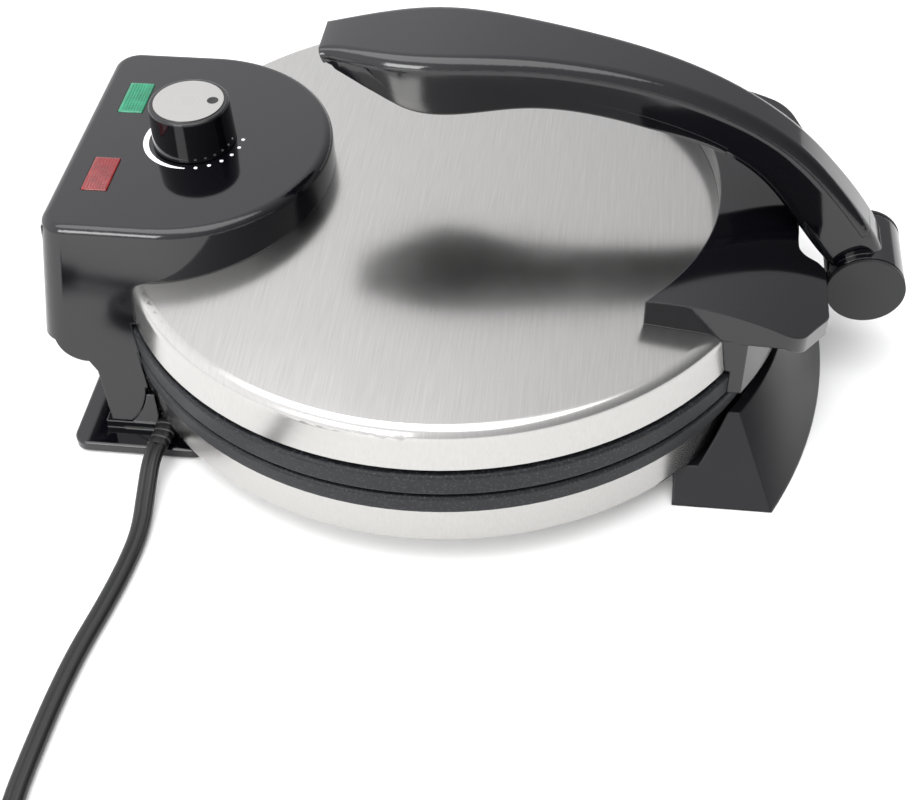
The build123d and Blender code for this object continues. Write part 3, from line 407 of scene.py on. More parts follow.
@dataclass(frozen=True)
class Metal(Finish):
    """Bare metal with fine lines from its working, drawn as coarse as they need to show.

    Attributes:
        grain: how the surface was worked.
        line_mm: the width of a line of the grain.
        relief_mm: how deep the lines are.
        other: the colour that the lines mix in.
        axis: the point that turned lines run round.
        stretch: how dense the noise is along X, Y and Z where the metal is brushed along Y.
        cloud_mm: the size of the patches in which the gloss wanders.
    """

    grain: Grain = Grain.PLAIN
    line_mm: float = 0.5
    relief_mm: float = 0.002
    other: str = "#8F8E8C"
    axis: Point = (0.0, 0.0, 0.0)
    stretch: Point = (1.0, 0.025, 0.2)
    cloud_mm: float = 30.0

    def build(self) -> bpy.types.Material:
        """Makes the material.

        Returns:
            The finished material.
        """
        tree, shader, place = self.start()
        shader.inputs["Metallic"].default_value = 1.0
        vector = (place, "Object")
        if self.grain is Grain.STRAIGHT:
            scaled = add_node(
                tree, "ShaderNodeMapping", inputs={"Vector": vector, "Scale": self.stretch}
            )
            vector = (scaled, 0)
        if self.grain is Grain.TURNED:
            moved = add_node(
                tree,
                "ShaderNodeVectorMath",
                {"operation": "SUBTRACT"},
                {0: vector, 1: self.axis},
            )
            reach = add_node(tree, "ShaderNodeVectorMath", {"operation": "LENGTH"}, {0: (moved, 0)})
            vector = (reach, 1)
        lines = self.noise(tree, vector, self.line_mm, 3)
        cloud = self.noise(tree, (place, "Object"), self.cloud_mm, 3)
        bump = add_node(
            tree,
            "ShaderNodeBump",
            inputs={"Height": (lines, 0), "Distance": self.relief_mm * MM},
        )
        tree.links.new(bump.outputs[0], shader.inputs["Normal"])
        self.vary_colour(tree, shader, lines, self.other)
        self.vary_roughness(tree, shader, cloud)
        return bpy.data.materials[self.name]


@dataclass(frozen=True)
class CastCoating(Finish):
    """Non-stick coating baked on cast aluminium: a fine pebbled dark grey with paler specks.

    Attributes:
        pebble_mm: the size of the pebbles.
        relief_mm: how high they stand.
        ior: the index of refraction of the fluoropolymer.
        speck: the colour of the specks.
        speck_range: the noise values between which the specks fade in.
    """

    pebble_mm: float = 0.9
    relief_mm: float = 0.05
    ior: float = 1.35
    speck: str = "#34363B"
    speck_range: tuple[float, float] = (0.52, 0.72)

    def build(self) -> bpy.types.Material:
        """Makes the material.

        Returns:
            The finished material.
        """
        tree, shader, place = self.start()
        shader.inputs["IOR"].default_value = self.ior
        pebbles = self.noise(tree, (place, "Object"), self.pebble_mm, 4)
        specks = add_node(
            tree,
            "ShaderNodeMapRange",
            inputs={
                "Value": (pebbles, 0),
                "From Min": self.speck_range[0],
                "From Max": self.speck_range[1],
            },
        )
        bump = add_node(
            tree,
            "ShaderNodeBump",
            inputs={"Height": (pebbles, 0), "Distance": self.relief_mm * MM},
        )
        tree.links.new(bump.outputs[0], shader.inputs["Normal"])
        self.vary_colour(tree, shader, specks, self.speck)
        self.vary_roughness(tree, shader, pebbles)
        return bpy.data.materials[self.name]


@dataclass(frozen=True)
class LensPlastic(Finish):
    """Clear-tinted polycarbonate of a lamp lens: deep colour with a gloss face.

    Attributes:
        transmission: the share of light that goes through.
        deep: the colour in the lens's darker clouds.
        ior: the index of refraction of polycarbonate.
        cloud_mm: the size of the clouds.
    """

    transmission: float = 0.35
    deep: str = "#000000"
    ior: float = 1.58
    cloud_mm: float = 4.0

    def build(self) -> bpy.types.Material:
        """Makes the material.

        Returns:
            The finished material.
        """
        tree, shader, place = self.start()
        shader.inputs["IOR"].default_value = self.ior
        shader.inputs["Transmission Weight"].default_value = self.transmission
        cloud = self.noise(tree, (place, "Object"), self.cloud_mm, 2)
        self.vary_colour(tree, shader, cloud, self.deep)
        self.vary_roughness(tree, shader, cloud)
        return bpy.data.materials[self.name]


class Finishes:
    """Every material of the roti maker, by what it is and how it was made."""

    def __init__(self, knob_centre: Vector) -> None:
        """Builds the materials.

        Args:
            knob_centre: the point that the knob cap's turned lines run round.
        """
        # Drawn stainless sheet, brushed along Y: a pale soft mirror with fine upright lines.
        self.stainless = Metal(
            "stainless_steel_brushed",
            "#BBBAB8",
            roughness=0.21,
            spread=0.03,
            grain=Grain.STRAIGHT,
            line_mm=0.5,
            relief_mm=0.0016,
            other="#ABAAA8",
        ).build()
        # Cast aluminium under a baked coating: dark grey with a pebbled sparkle.
        self.cast = CastCoating(
            "cast_aluminium_coated", "#121316", roughness=0.5, spread=0.08
        ).build()
        # Gloss ABS, moulded: deep black that mirrors the room.
        self.gloss = Plastic(
            "abs_gloss_moulded",
            "#07070B",
            roughness=0.08,
            spread=0.02,
            skin_mm=14.0,
            relief_mm=0.012,
            edge_mm=0.7,
        ).build()
        # The same ABS on the front foot, from a finely blasted mould: a satin charcoal.
        self.satin = Plastic(
            "abs_satin_moulded",
            "#111114",
            roughness=0.3,
            spread=0.04,
            skin_mm=0.5,
            relief_mm=0.006,
            edge_mm=1.0,
            specular=0.36,
        ).build()
        # Glass-filled nylon near the heat: dull black.
        self.matt = Plastic(
            "nylon_matt_moulded",
            "#101011",
            roughness=0.55,
            spread=0.05,
            skin_mm=0.6,
            relief_mm=0.02,
            edge_mm=0.3,
        ).build()
        # Soft PVC of the mains cord and plug: black with a faint sheen.
        self.cord = Plastic(
            "pvc_cord_extruded",
            "#0C0C0C",
            roughness=0.34,
            spread=0.05,
            skin_mm=0.8,
            relief_mm=0.015,
            edge_mm=0.3,
            ior=1.52,
            specular=0.4,
        ).build()
        # Silicone rubber pads: dead black with a fine grain.
        self.rubber = Plastic(
            "rubber_moulded",
            "#0E0E0E",
            roughness=0.7,
            spread=0.05,
            skin_mm=0.5,
            relief_mm=0.03,
            edge_mm=0.4,
            ior=1.5,
        ).build()
        # Aluminium disc on the knob, lightly turned: pale matt silver.
        self.silver = Metal(
            "aluminium_turned_cap",
            "#BDBCBA",
            roughness=0.42,
            spread=0.03,
            grain=Grain.TURNED,
            line_mm=0.35,
            relief_mm=0.002,
            other="#B1B0AE",
            axis=tuple(knob_centre),
        ).build()
        # Zinc-plated steel of screws and pins: cool and softly bright.
        self.zinc = Metal(
            "steel_zinc_plated",
            "#B9BBBE",
            roughness=0.32,
            spread=0.05,
            line_mm=1.5,
            relief_mm=0.004,
            other="#9FA3A8",
        ).build()
        # Nickel alloy sheath of the heating elements, darkened by heat.
        self.sheath = Metal(
            "alloy_heat_tinted",
            "#5C5650",
            roughness=0.5,
            spread=0.08,
            line_mm=3.0,
            relief_mm=0.01,
            other="#4A4038",
        ).build()
        # Aluminised sheet of the heat shields: dull bright.
        self.shield = Metal(
            "aluminised_sheet",
            "#C4C6C8",
            roughness=0.4,
            spread=0.06,
            line_mm=4.0,
            relief_mm=0.004,
            other="#AEB1B4",
        ).build()
        # Tinted polycarbonate of the lamp lenses: a deep colour under a gloss face.
        self.green = LensPlastic(
            "polycarbonate_green",
            "#1C9A70",
            roughness=0.1,
            spread=0.03,
            transmission=0.12,
            deep="#0C6446",
        ).build()
        self.red = LensPlastic(
            "polycarbonate_red",
            "#921519",
            roughness=0.1,
            spread=0.03,
            transmission=0.12,
            deep="#5E0A0E",
        ).build()
        # Pad-printed ink of the dial: opaque white with a soft gloss.
        self.ink = Plastic(
            "ink_pad_printed",
            "#F0F1F4",
            roughness=0.45,
            spread=0.04,
            skin_mm=0.5,
            relief_mm=0.004,
            edge_mm=0.1,
        ).build()

    def by_node(self) -> dict[str, bpy.types.Material]:
        """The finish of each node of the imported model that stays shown.

        Returns:
            The material by the node's name.
        """
        made = {
            self.stainless: ["base_pan", "lid_cover"],
            self.cast: ["lower_plate", "upper_plate"],
            self.sheath: ["lower_element", "upper_element"],
            self.shield: ["lower_heat_shield", "upper_heat_shield"],
            self.gloss: [
                "rear_foot",
                "hinge_housing",
                "front_bracket",
                "handle_body",
                "handle_cover",
                "thermostat_knob",
            ],
            self.satin: ["front_foot"],
            self.matt: ["lid_ring", "lamp_holders", "barrel_caps"],
            self.silver: ["knob_cap"],
            self.rubber: ["rubber_pads"],
            self.zinc: [
                "lower_shield_screws",
                "upper_shield_screws",
                "lid_screws",
                "housing_screws",
                "bracket_screws",
                "hinge_pins",
                "handle_pin",
                "thermostat",
                "thermostat_spindle",
            ],
        }
        return {node: material for material, nodes in made.items() for node in nodes}


# ---------------------------------------------------------------- sub-assemblies
@dataclass
class PowerCord:
    """The flat twin cord with its strain relief, from the foot to the coil and the plug.

    Attributes:
        plate_x: the plates' axis, which the route is measured from.
        width: the flat cord's width, which is its declared diameter.
        thickness: its thickness.
        exit_x: where the cord leaves the foot, from the plates' axis, in millimetres.
        grommet_y: where its line starts, inside the foot, in millimetres.
        coil_centre: the coil's centre, from the plates' axis, in millimetres.
        coil_radius: the radius of the middle of the coil's turns, in millimetres.
        coil_turns: how many turns lie in each of the coil's two layers.
        last_turn: the share of a turn that follows before the tail.
        turn_points: how many points a turn of the coil has.
        step_turn: the share of a turn in which the cord steps over or climbs.
        lobe_points: how many points each lobe of the cross section has.
        lobe_angle: how far a lobe's outline runs either way from its middle, in degrees.
        line_steps: how many steps the line has between two of its points.
        relief_length: how far the strain relief's ribs run, in millimetres.
        relief_root: its half width and half height in the foot, in millimetres.
        relief_tip: its half width and half height at its tip, in millimetres.
        relief_inside: how far it reaches into the foot, in millimetres.
        relief_ribs: how many ribs it has.
        rib_profile: how far along a rib, and how much smaller than it, each ring is.
    """

    plate_x: float
    width: float = 7.2 * MM
    thickness: float = 4.4 * MM
    exit_x: float = -100.9
    grommet_y: float = -66.0
    coil_centre: tuple[float, float] = (-149.1, -272.0)
    coil_radius: float = 36.5
    coil_turns: int = 2
    last_turn: float = 0.25
    turn_points: int = 16
    step_turn: float = 0.3
    lobe_points: int = 14
    lobe_angle: float = 128.0
    line_steps: int = 6
    relief_length: float = 24.0
    relief_root: tuple[float, float] = (5.0, 3.0)
    relief_tip: tuple[float, float] = (4.1, 2.6)
    relief_inside: float = 8.0
    relief_ribs: int = 7
    rib_profile: tuple[tuple[float, float], ...] = (
        (0.05, 0.88),
        (0.38, 0.86),
        (0.45, 1.0),
        (0.95, 0.97),
    )

    def run(self) -> list[Point]:
        """The route's points from the foot to the coil, in millimetres from the plates' axis.

        Returns:
            The points in order, from the foot outwards.
        """
        flat = self.thickness / MM / 2
        offsets = [
            (0.0, self.grommet_y, 8.6),
            (-1.1, -80.0, 8.8),
            (-3.7, -94.5, 8.3),
            (-2.3, -110.5, 4.6),
            (-0.3, -127.0, flat),
            (-1.4, -144.5, flat),
            (-4.1, -162.5, flat),
            (-7.8, -181.5, flat),
            (-9.9, -201.5, flat),
            (-11.0, -222.0, flat),
            (-11.5, -241.0, flat),
        ]
        return [(self.exit_x + x, y, z) for x, y, z in offsets]

    def coil(self) -> list[Point]:
        """The coil's points: turns that step inwards, rise to the second layer and step out again.

        Returns:
            The points in order, in millimetres from the plates' axis.
        """
        flat = self.thickness / MM
        half = self.step_turn / 2
        outer = self.coil_radius + self.width / MM / 2
        inner = self.coil_radius - self.width / MM / 2
        first = int(self.turn_points * self.coil_turns)
        last = int(self.turn_points * (self.coil_turns + self.last_turn))
        points = []
        for step in range(first + last + 1):
            turn = step / self.turn_points
            lower = step <= first
            start, end, done = (outer, inner, 0) if lower else (inner, outer, self.coil_turns)
            share = min(1.0, max(0.0, (turn - done - (1 - half)) / self.step_turn))
            radius = start + (end - start) * share
            climb = min(1.0, max(0.0, (turn - self.coil_turns + half) / self.step_turn))
            x = self.coil_centre[0] + radius * cos(-tau * turn)
            y = self.coil_centre[1] + radius * sin(-tau * turn)
            points.append((x, y, flat / 2 + flat * climb))
        return points

    def tail(self) -> list[Point]:
        """The tail's points from the coil's last turn to the plug.

        Returns:
            The points in order, in millimetres from the plates' axis.
        """
        centre_x = self.coil_centre[0]
        last_y = self.coil_centre[1] - self.coil_radius
        offsets = [(-15.0, -2.0, 6.6), (-37.0, -0.4, 4.4), (-58.0, -2.4, 5.4), (-78.0, -5.4, 7.0)]
        return [(centre_x + x, last_y + y, z) for x, y, z in offsets]

    def centreline(self) -> bpy.types.Object:
        """The cord's own line as one open spline with no thickness.

        Returns:
            The curve's object.
        """
        points = self.run() + self.coil() + self.tail()
        curve = bpy.data.curves.new("cord_line", "CURVE")
        curve.dimensions = "3D"
        curve.resolution_u = self.line_steps
        curve.twist_mode = "Z_UP"
        spline = curve.splines.new("NURBS")
        spline.points.add(len(points) - 1)
        for point, (x, y, z) in zip(spline.points, points):
            point.co = (self.plate_x + x * MM, y * MM, z * MM, 1.0)
        spline.order_u = 3
        spline.use_endpoint_u = True
        line = bpy.data.objects.new("cord_line", curve)
        bpy.context.scene.collection.objects.link(line)
        return line

    def section(self) -> bpy.types.Object:
        """The twin cord's cross section: two lobes with a groove along the middle of each face.

        Returns:
            The closed curve's object.
        """
        curve = bpy.data.curves.new("cord_section", "CURVE")
        curve.dimensions = "2D"
        spline = curve.splines.new("POLY")
        lobe = self.thickness / 2
        offset = self.width / 2 - lobe
        outline = []
        for side in (1, -1):
            for step in range(self.lobe_points):
                share = step / (self.lobe_points - 1)
                angle = radians(self.lobe_angle * (2 * share - 1))
                x, y = offset + lobe * cos(angle), lobe * sin(angle)
                outline.append((side * x, side * y))
        spline.points.add(len(outline) - 1)
        for point, (x, y) in zip(spline.points, outline):
            point.co = (x, y, 0, 1)
        spline.use_cyclic_u = True
        section = bpy.data.objects.new("cord_section", curve)
        bpy.context.scene.collection.objects.link(section)
        return section

    def build(self, finishes: Finishes, plug: list[bpy.types.Object]) -> bpy.types.Object:
        """Args:
            finishes: the materials.
            plug: the pieces on the cord's far end; not used.

        Returns:
            The cord.
        """
        line = self.centreline()
        bpy.context.view_layer.update()
        measured = line.evaluated_get(bpy.context.evaluated_depsgraph_get())
        mesh = bpy.data.meshes.new_from_object(measured)
        path = [tuple(vertex.co) for vertex in mesh.vertices]
        section = self.section()
        line.data.bevel_mode = "OBJECT"
        line.data.bevel_object = section
        line.data.use_fill_caps = True
        select_only(line)
        bpy.ops.object.convert(target="MESH")
        cord = new_piece("mains_cord")
        bpy.data.objects.remove(section)
        bpy.data.meshes.remove(mesh)
        tidy_mesh(cord)
        settle(cord)
        dress(cord, finishes.cord, "base")
        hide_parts("power_cord", "cord_coil", "cord_tail")
        relief = self.strain_relief(finishes, path)
        return cord

    def strain_relief(self, finishes: Finishes, path: list[Point]) -> bpy.types.Object:
        """A tapered, ribbed sleeve over the cord's first stretch, from inside the foot outwards.

        Args:
            finishes: the materials.
            path: the points of the cord's line, in metres.

        Returns:
            The sleeve.
        """
        root, tip, inside = self.relief_root, self.relief_tip, self.relief_inside
        rings = [(0.0, root[0] * MM, root[1] * MM), (inside * MM, root[0] * MM, root[1] * MM)]
        pitch = self.relief_length / self.relief_ribs
        for rib in range(self.relief_ribs):
            share = (rib + 1) / self.relief_ribs
            wide, high = (a + (b - a) * share for a, b in zip(root, tip))
            base = inside + rib * pitch
            for along, shrink in self.rib_profile:
                rings.append(((base + along * pitch) * MM, wide * shrink * MM, high * MM * shrink))
        sleeve = ringed_form("strain_relief", rings, squareness=0.75, points=40)
        start = Vector(path[0]) + Vector((0, inside * MM, 0))
        nodes = [start] + [Vector(p) for p in path]
        for vertex in sleeve.data.vertices:
            x, y, along = vertex.co
            here, heading = point_along(nodes, along)
            side = Vector((-heading.y, heading.x, 0)).normalized()
            up = side.cross(heading).normalized()
            vertex.co = here - side * x - up * y
        tidy_mesh(sleeve)
        settle(sleeve)
        dress(sleeve, finishes.cord, "base")
        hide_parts("cord_grommet")
        log.info("strain relief: %d ribs", self.relief_ribs)
        return sleeve


def point_along(points: list[Vector], distance: float) -> tuple[Vector, Vector]:
    """A point at a distance along a line of points, and the line's heading there.

    Args:
        points: the line's points in order.
        distance: how far along the line, in metres.

    Returns:
        The point and the unit heading.
    """
    for here, after in zip(points, points[1:]):
        step = (after - here).length
        if distance <= step:
            return here.lerp(after, distance / step), (after - here).normalized()
        distance -= step
    return points[-1], (points[-1] - points[-2]).normalized()


@dataclass
class MainsPlug:
    """The moulded two-blade plug that lies behind the coil.

    Attributes:
        entry: where the cord enters it, in metres.
        heading: which way it points.
        length: the body's length, in millimetres.
        grooves: how many grip grooves run round it.
        groove_start: where the first groove lies from the entry, in millimetres.
        groove_pitch: the distance between two grooves, in millimetres.
        blade_thickness: the blades' thickness, in millimetres.
        blade_width: the blades' width, in millimetres.
        blade_length: how far they stand out, in millimetres.
        blade_spacing: the distance between them, in millimetres.
        hole_radius: the radius of the hole near each blade's tip, in millimetres.
        hole_inset: how far the hole lies from that tip, in millimetres.
        blade_round: the radius of the blade's edges, in millimetres.
    """

    entry: Point
    heading: Vector
    length: float = 36.0
    grooves: int = 4
    groove_start: float = 4.8
    groove_pitch: float = 3.0
    blade_thickness: float = 1.6
    blade_width: float = 6.4
    blade_length: float = 16.5
    blade_spacing: float = 12.7
    hole_radius: float = 1.6
    hole_inset: float = 4.0
    blade_round: float = 0.35

    def place(self) -> Matrix:
        """The plug's own axes: local Z along the plug, local Y up.

        Returns:
            The move from those axes to the part's frame.
        """
        along = self.heading.normalized()
        up = Vector((0, 0, 1))
        side = up.cross(along)
        turn = Matrix((side, up, along)).transposed().to_4x4()
        return Matrix.Translation(self.entry) @ turn

    def build(self, finishes: Finishes) -> list[bpy.types.Object]:
        """Makes the body with its grip ribs and the two blades.

        Args:
            finishes: the materials.

        Returns:
            The body and the pair of blades.
        """
        # Each ring's distance from the entry, its half width and its half height.
        rings = [(0.0, 4.6, 3.4), (0.6, 5.2, 4.4), (4.0, 5.6, 4.9)]
        for groove in range(self.grooves):
            base = self.groove_start + groove * self.groove_pitch
            half_width, half_height = 5.8 + groove * 1.1, 5.0 + groove * 0.35
            rings += [
                (base, half_width - 0.7, half_height - 0.6),
                (base + 0.9, half_width - 0.6, half_height - 0.5),
                (base + 1.2, half_width + 0.5, half_height + 0.1),
                (base + 2.4, half_width + 0.9, half_height + 0.2),
            ]
        rings += [
            (20.0, 12.0, 6.8),
            (24.0, 12.45, 7.0),
            (self.length - 1.4, 12.45, 7.0),
            (self.length - 0.4, 12.1, 6.6),
            (self.length, 11.2, 5.8),
        ]
        scaled = [(z * MM, x * MM, y * MM) for z, x, y in rings]
        body = ringed_form("plug_body", scaled, squareness=0.55, points=64)
        settle(body, self.place())
        dress(body, finishes.cord, "base")
        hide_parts("power_plug")
        blades = [self.blade(side * self.blade_spacing / 2) for side in (1, -1)]
        pair = join(blades, "plug_pins")
        settle(pair, self.place())
        dress(pair, finishes.zinc, "base")
        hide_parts("plug_blades")
        log.info("plug: body and %d blades", len(blades))
        return [body, pair]

    def blade(self, offset: float) -> bpy.types.Object:
        """One flat blade with a rounded tip and its hole, standing at the plug's face.

        Args:
            offset: the blade's distance from the plug's middle, in millimetres.

        Returns:
            The blade, in the plug's own axes.
        """
        deselect_all()
        middle = self.length + self.blade_length / 2
        bpy.ops.mesh.primitive_cube_add(
            size=1,
            location=(offset * MM, 0, middle * MM),
            scale=(self.blade_thickness * MM, self.blade_width * MM, self.blade_length * MM),
        )
        blade = new_piece("blade")
        bpy.ops.object.transform_apply(location=True, rotation=True, scale=True)
        width = self.blade_round * MM
        apply_modifier(blade, "BEVEL", width=width, segments=2, limit_method="ANGLE")
        bpy.ops.mesh.primitive_cylinder_add(
            vertices=24,
            radius=self.hole_radius * MM,
            depth=3 * self.blade_thickness * MM,
            location=(offset * MM, 0, (self.length + self.blade_length - self.hole_inset) * MM),
            rotation=(0, pi / 2, 0),
        )
        drill = new_piece("drill")
        apply_modifier(blade, "BOOLEAN", operation="DIFFERENCE", object=drill, solver="EXACT")
        bpy.data.objects.remove(drill)
        return blade


@dataclass
class ControlPanel:
    """The dial's print, the knob's pointer and the two ribbed lamp lenses.

    Attributes:
        centre: the knob's axis on the panel's face.
        dial_radius: the radius of the printed ring, in millimetres.
        print_thickness: how far the ink stands proud, in millimetres.
        dot_radius: the radius of a printed dot, in millimetres.
        dot_angles: where the dots stand, in degrees from the front.
        arc_angles: where the tapering arc starts and ends, in degrees from the front.
        arc_widths: the arc's width at its start and end, in millimetres.
        arc_taper: how late along the arc its width falls off.
        pointer_reach: how far the pointer lies from the knob's axis, in millimetres.
        pointer_angle: where it points, in degrees from the front.
        pointer_radius: the pointer's radius, in millimetres.
        rib_pitch: the pitch of the lens's pyramids, in millimetres.
        rib_height: their height, in millimetres.
        lens_flange: how far the plain lens's hidden flange stands out all round, in millimetres.
        lens_rim: the width of the flat rim round the pyramids, in millimetres.
        lens_round: the radius of the lens's edges, in millimetres.
        field_depth: how far the field of pyramids reaches into the lens, in millimetres.
        field_sunk: the share of the pyramids' height that lies below the plain lens's face.
    """

    centre: Vector
    dial_radius: float = 18.9
    print_thickness: float = 0.05
    dot_radius: float = 0.75
    dot_angles: tuple[float, ...] = (-75.5, -59.7, -43.9, -28.1, -12.3, 3.5)
    arc_angles: tuple[float, float] = (105.0, 272.0)
    arc_widths: tuple[float, float] = (2.2, 0.5)
    arc_taper: float = 5.7
    pointer_reach: float = 9.3
    pointer_angle: float = 7.0
    pointer_radius: float = 2.2
    rib_pitch: float = 1.1
    rib_height: float = 0.42
    lens_flange: float = 1.4
    lens_rim: float = 0.9
    lens_round: float = 0.5
    field_depth: float = 0.6
    field_sunk: float = 0.8

    def build(self, finishes: Finishes) -> None:
        """Makes the print, the pointer and the lenses.

        Args:
            finishes: the materials.
        """
        self.dial_print(finishes)
        self.pointer(finishes)
        self.lens("green_lens", finishes.green)
        self.lens("red_lens", finishes.red)
        log.info("control panel: dial print, pointer, two lenses")

    def on_dial(self, radius: float, angle: float) -> Point:
        """A point of the dial at a radius in millimetres and an angle in degrees from the front.

        Args:
            radius: the distance from the knob's axis, in millimetres.
            angle: the turn from the front, in degrees.

        Returns:
            The point, in metres.
        """
        turn = radians(angle)
        return (
            self.centre.x + radius * MM * cos(turn),
            self.centre.y + radius * MM * sin(turn),
            self.centre.z,
        )

    def dial_print(self, finishes: Finishes) -> None:
        """The white tapering arc and the row of dots, as thin layers of ink on the panel.

        Args:
            finishes: the materials.
        """
        layers = []
        for number, angle in enumerate(self.dot_angles):
            deselect_all()
            bpy.ops.mesh.primitive_circle_add(
                vertices=24,
                radius=self.dot_radius * MM,
                fill_type="NGON",
                location=self.on_dial(self.dial_radius, angle),
            )
            layers.append(new_piece(f"dot_{number}"))
        deselect_all()
        bpy.ops.mesh.primitive_grid_add(x_subdivisions=60, y_subdivisions=2, size=1)
        arc = new_piece("arc")
        for vertex in arc.data.vertices:
            share = vertex.co.x + 0.5
            angle = self.arc_angles[0] + (self.arc_angles[1] - self.arc_angles[0]) * share
            fall = (self.arc_widths[1] - self.arc_widths[0]) * share**self.arc_taper
            radius = self.dial_radius - vertex.co.y * (self.arc_widths[0] + fall)
            vertex.co = self.on_dial(radius, angle)
        layers.append(arc)
        for layer in layers:
            settle(layer)
        ink = join(layers, "dial_print")
        apply_modifier(ink, "SOLIDIFY", thickness=self.print_thickness * MM, offset=1)
        tidy_mesh(ink)
        settle(ink)
        dress(ink, finishes.ink, "lid")

    def pointer(self, finishes: Finishes) -> None:
        """A dark dished dot near the edge of the knob's cap.

        Args:
            finishes: the materials.
        """
        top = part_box("knob_cap")[1].z
        rim = self.pointer_radius
        # Each ring's height over the cap and its radius.
        rings = [
            (-0.05, rim),
            (0.02, rim),
            (0.1, rim - 0.1),
            (0.1, rim - 0.25),
            (0.03, rim - 0.6),
            (0.01, 0.4),
        ]
        scaled = [(z * MM, x * MM, x * MM) for z, x in rings]
        dot = ringed_form("knob_pointer", scaled, points=40)
        turn = radians(self.pointer_angle)
        place = Vector((self.centre.x, self.centre.y, top)) + Vector(
            (self.pointer_reach * MM * cos(turn), self.pointer_reach * MM * sin(turn), 0)
        )
        settle(dot, Matrix.Translation(place))
        dress(dot, finishes.matt, "knob")

    def lens(self, node: str, material: bpy.types.Material) -> None:
        """A lens with a flat rim and a field of small pyramids, in place of the plain one.

        Args:
            node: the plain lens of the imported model.
            material: the lens's finish.
        """
        low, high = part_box(node)
        flange = self.lens_flange * MM
        low_x, high_x = low.x + flange, high.x - flange
        low_y, high_y = low.y + flange, high.y - flange
        middle = Vector(((low_x + high_x) / 2, (low_y + high_y) / 2, 0))
        rim = self.lens_rim * MM
        face_z = high.z - self.field_sunk * self.rib_height * MM
        deselect_all()
        bpy.ops.mesh.primitive_cube_add(
            size=1,
            location=(middle.x, middle.y, (low.z + face_z) / 2),
            scale=(high_x - low_x, high_y - low_y, face_z - low.z),
        )
        body = new_piece("lens_body")
        bpy.ops.object.transform_apply(location=True, rotation=True, scale=True)
        width = self.lens_round * MM
        apply_modifier(body, "BEVEL", width=width, segments=4, limit_method="ANGLE")
        columns = int((high_x - low_x - 2 * rim) / (self.rib_pitch * MM)) * 2
        rows = int((high_y - low_y - 2 * rim) / (self.rib_pitch * MM)) * 2
        deselect_all()
        bpy.ops.mesh.primitive_grid_add(x_subdivisions=columns, y_subdivisions=rows, size=1)
        field = new_piece("lens_field")
        across = columns + 1
        for index, vertex in enumerate(field.data.vertices):
            column, row = index % across, index // across
            peak = self.rib_height * MM if column % 2 and row % 2 else 0.0
            vertex.co = (
                middle.x + vertex.co.x * (high_x - low_x - 2 * rim),
                middle.y + vertex.co.y * (high_y - low_y - 2 * rim),
                face_z + HAIR + peak,
            )
        select_only(field)
        bpy.ops.object.mode_set(mode="EDIT")
        bpy.ops.mesh.select_all(action="SELECT")
        drop = (0, 0, -self.field_depth * MM)
        bpy.ops.mesh.extrude_region_move(TRANSFORM_OT_translate={"value": drop})
        bpy.ops.object.mode_set(mode="OBJECT")
        tidy_mesh(field)
        piece = join([body, field], f"{node}_ribbed")
        settle(piece)
        dress(piece, material, "lid")
        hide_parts(node)


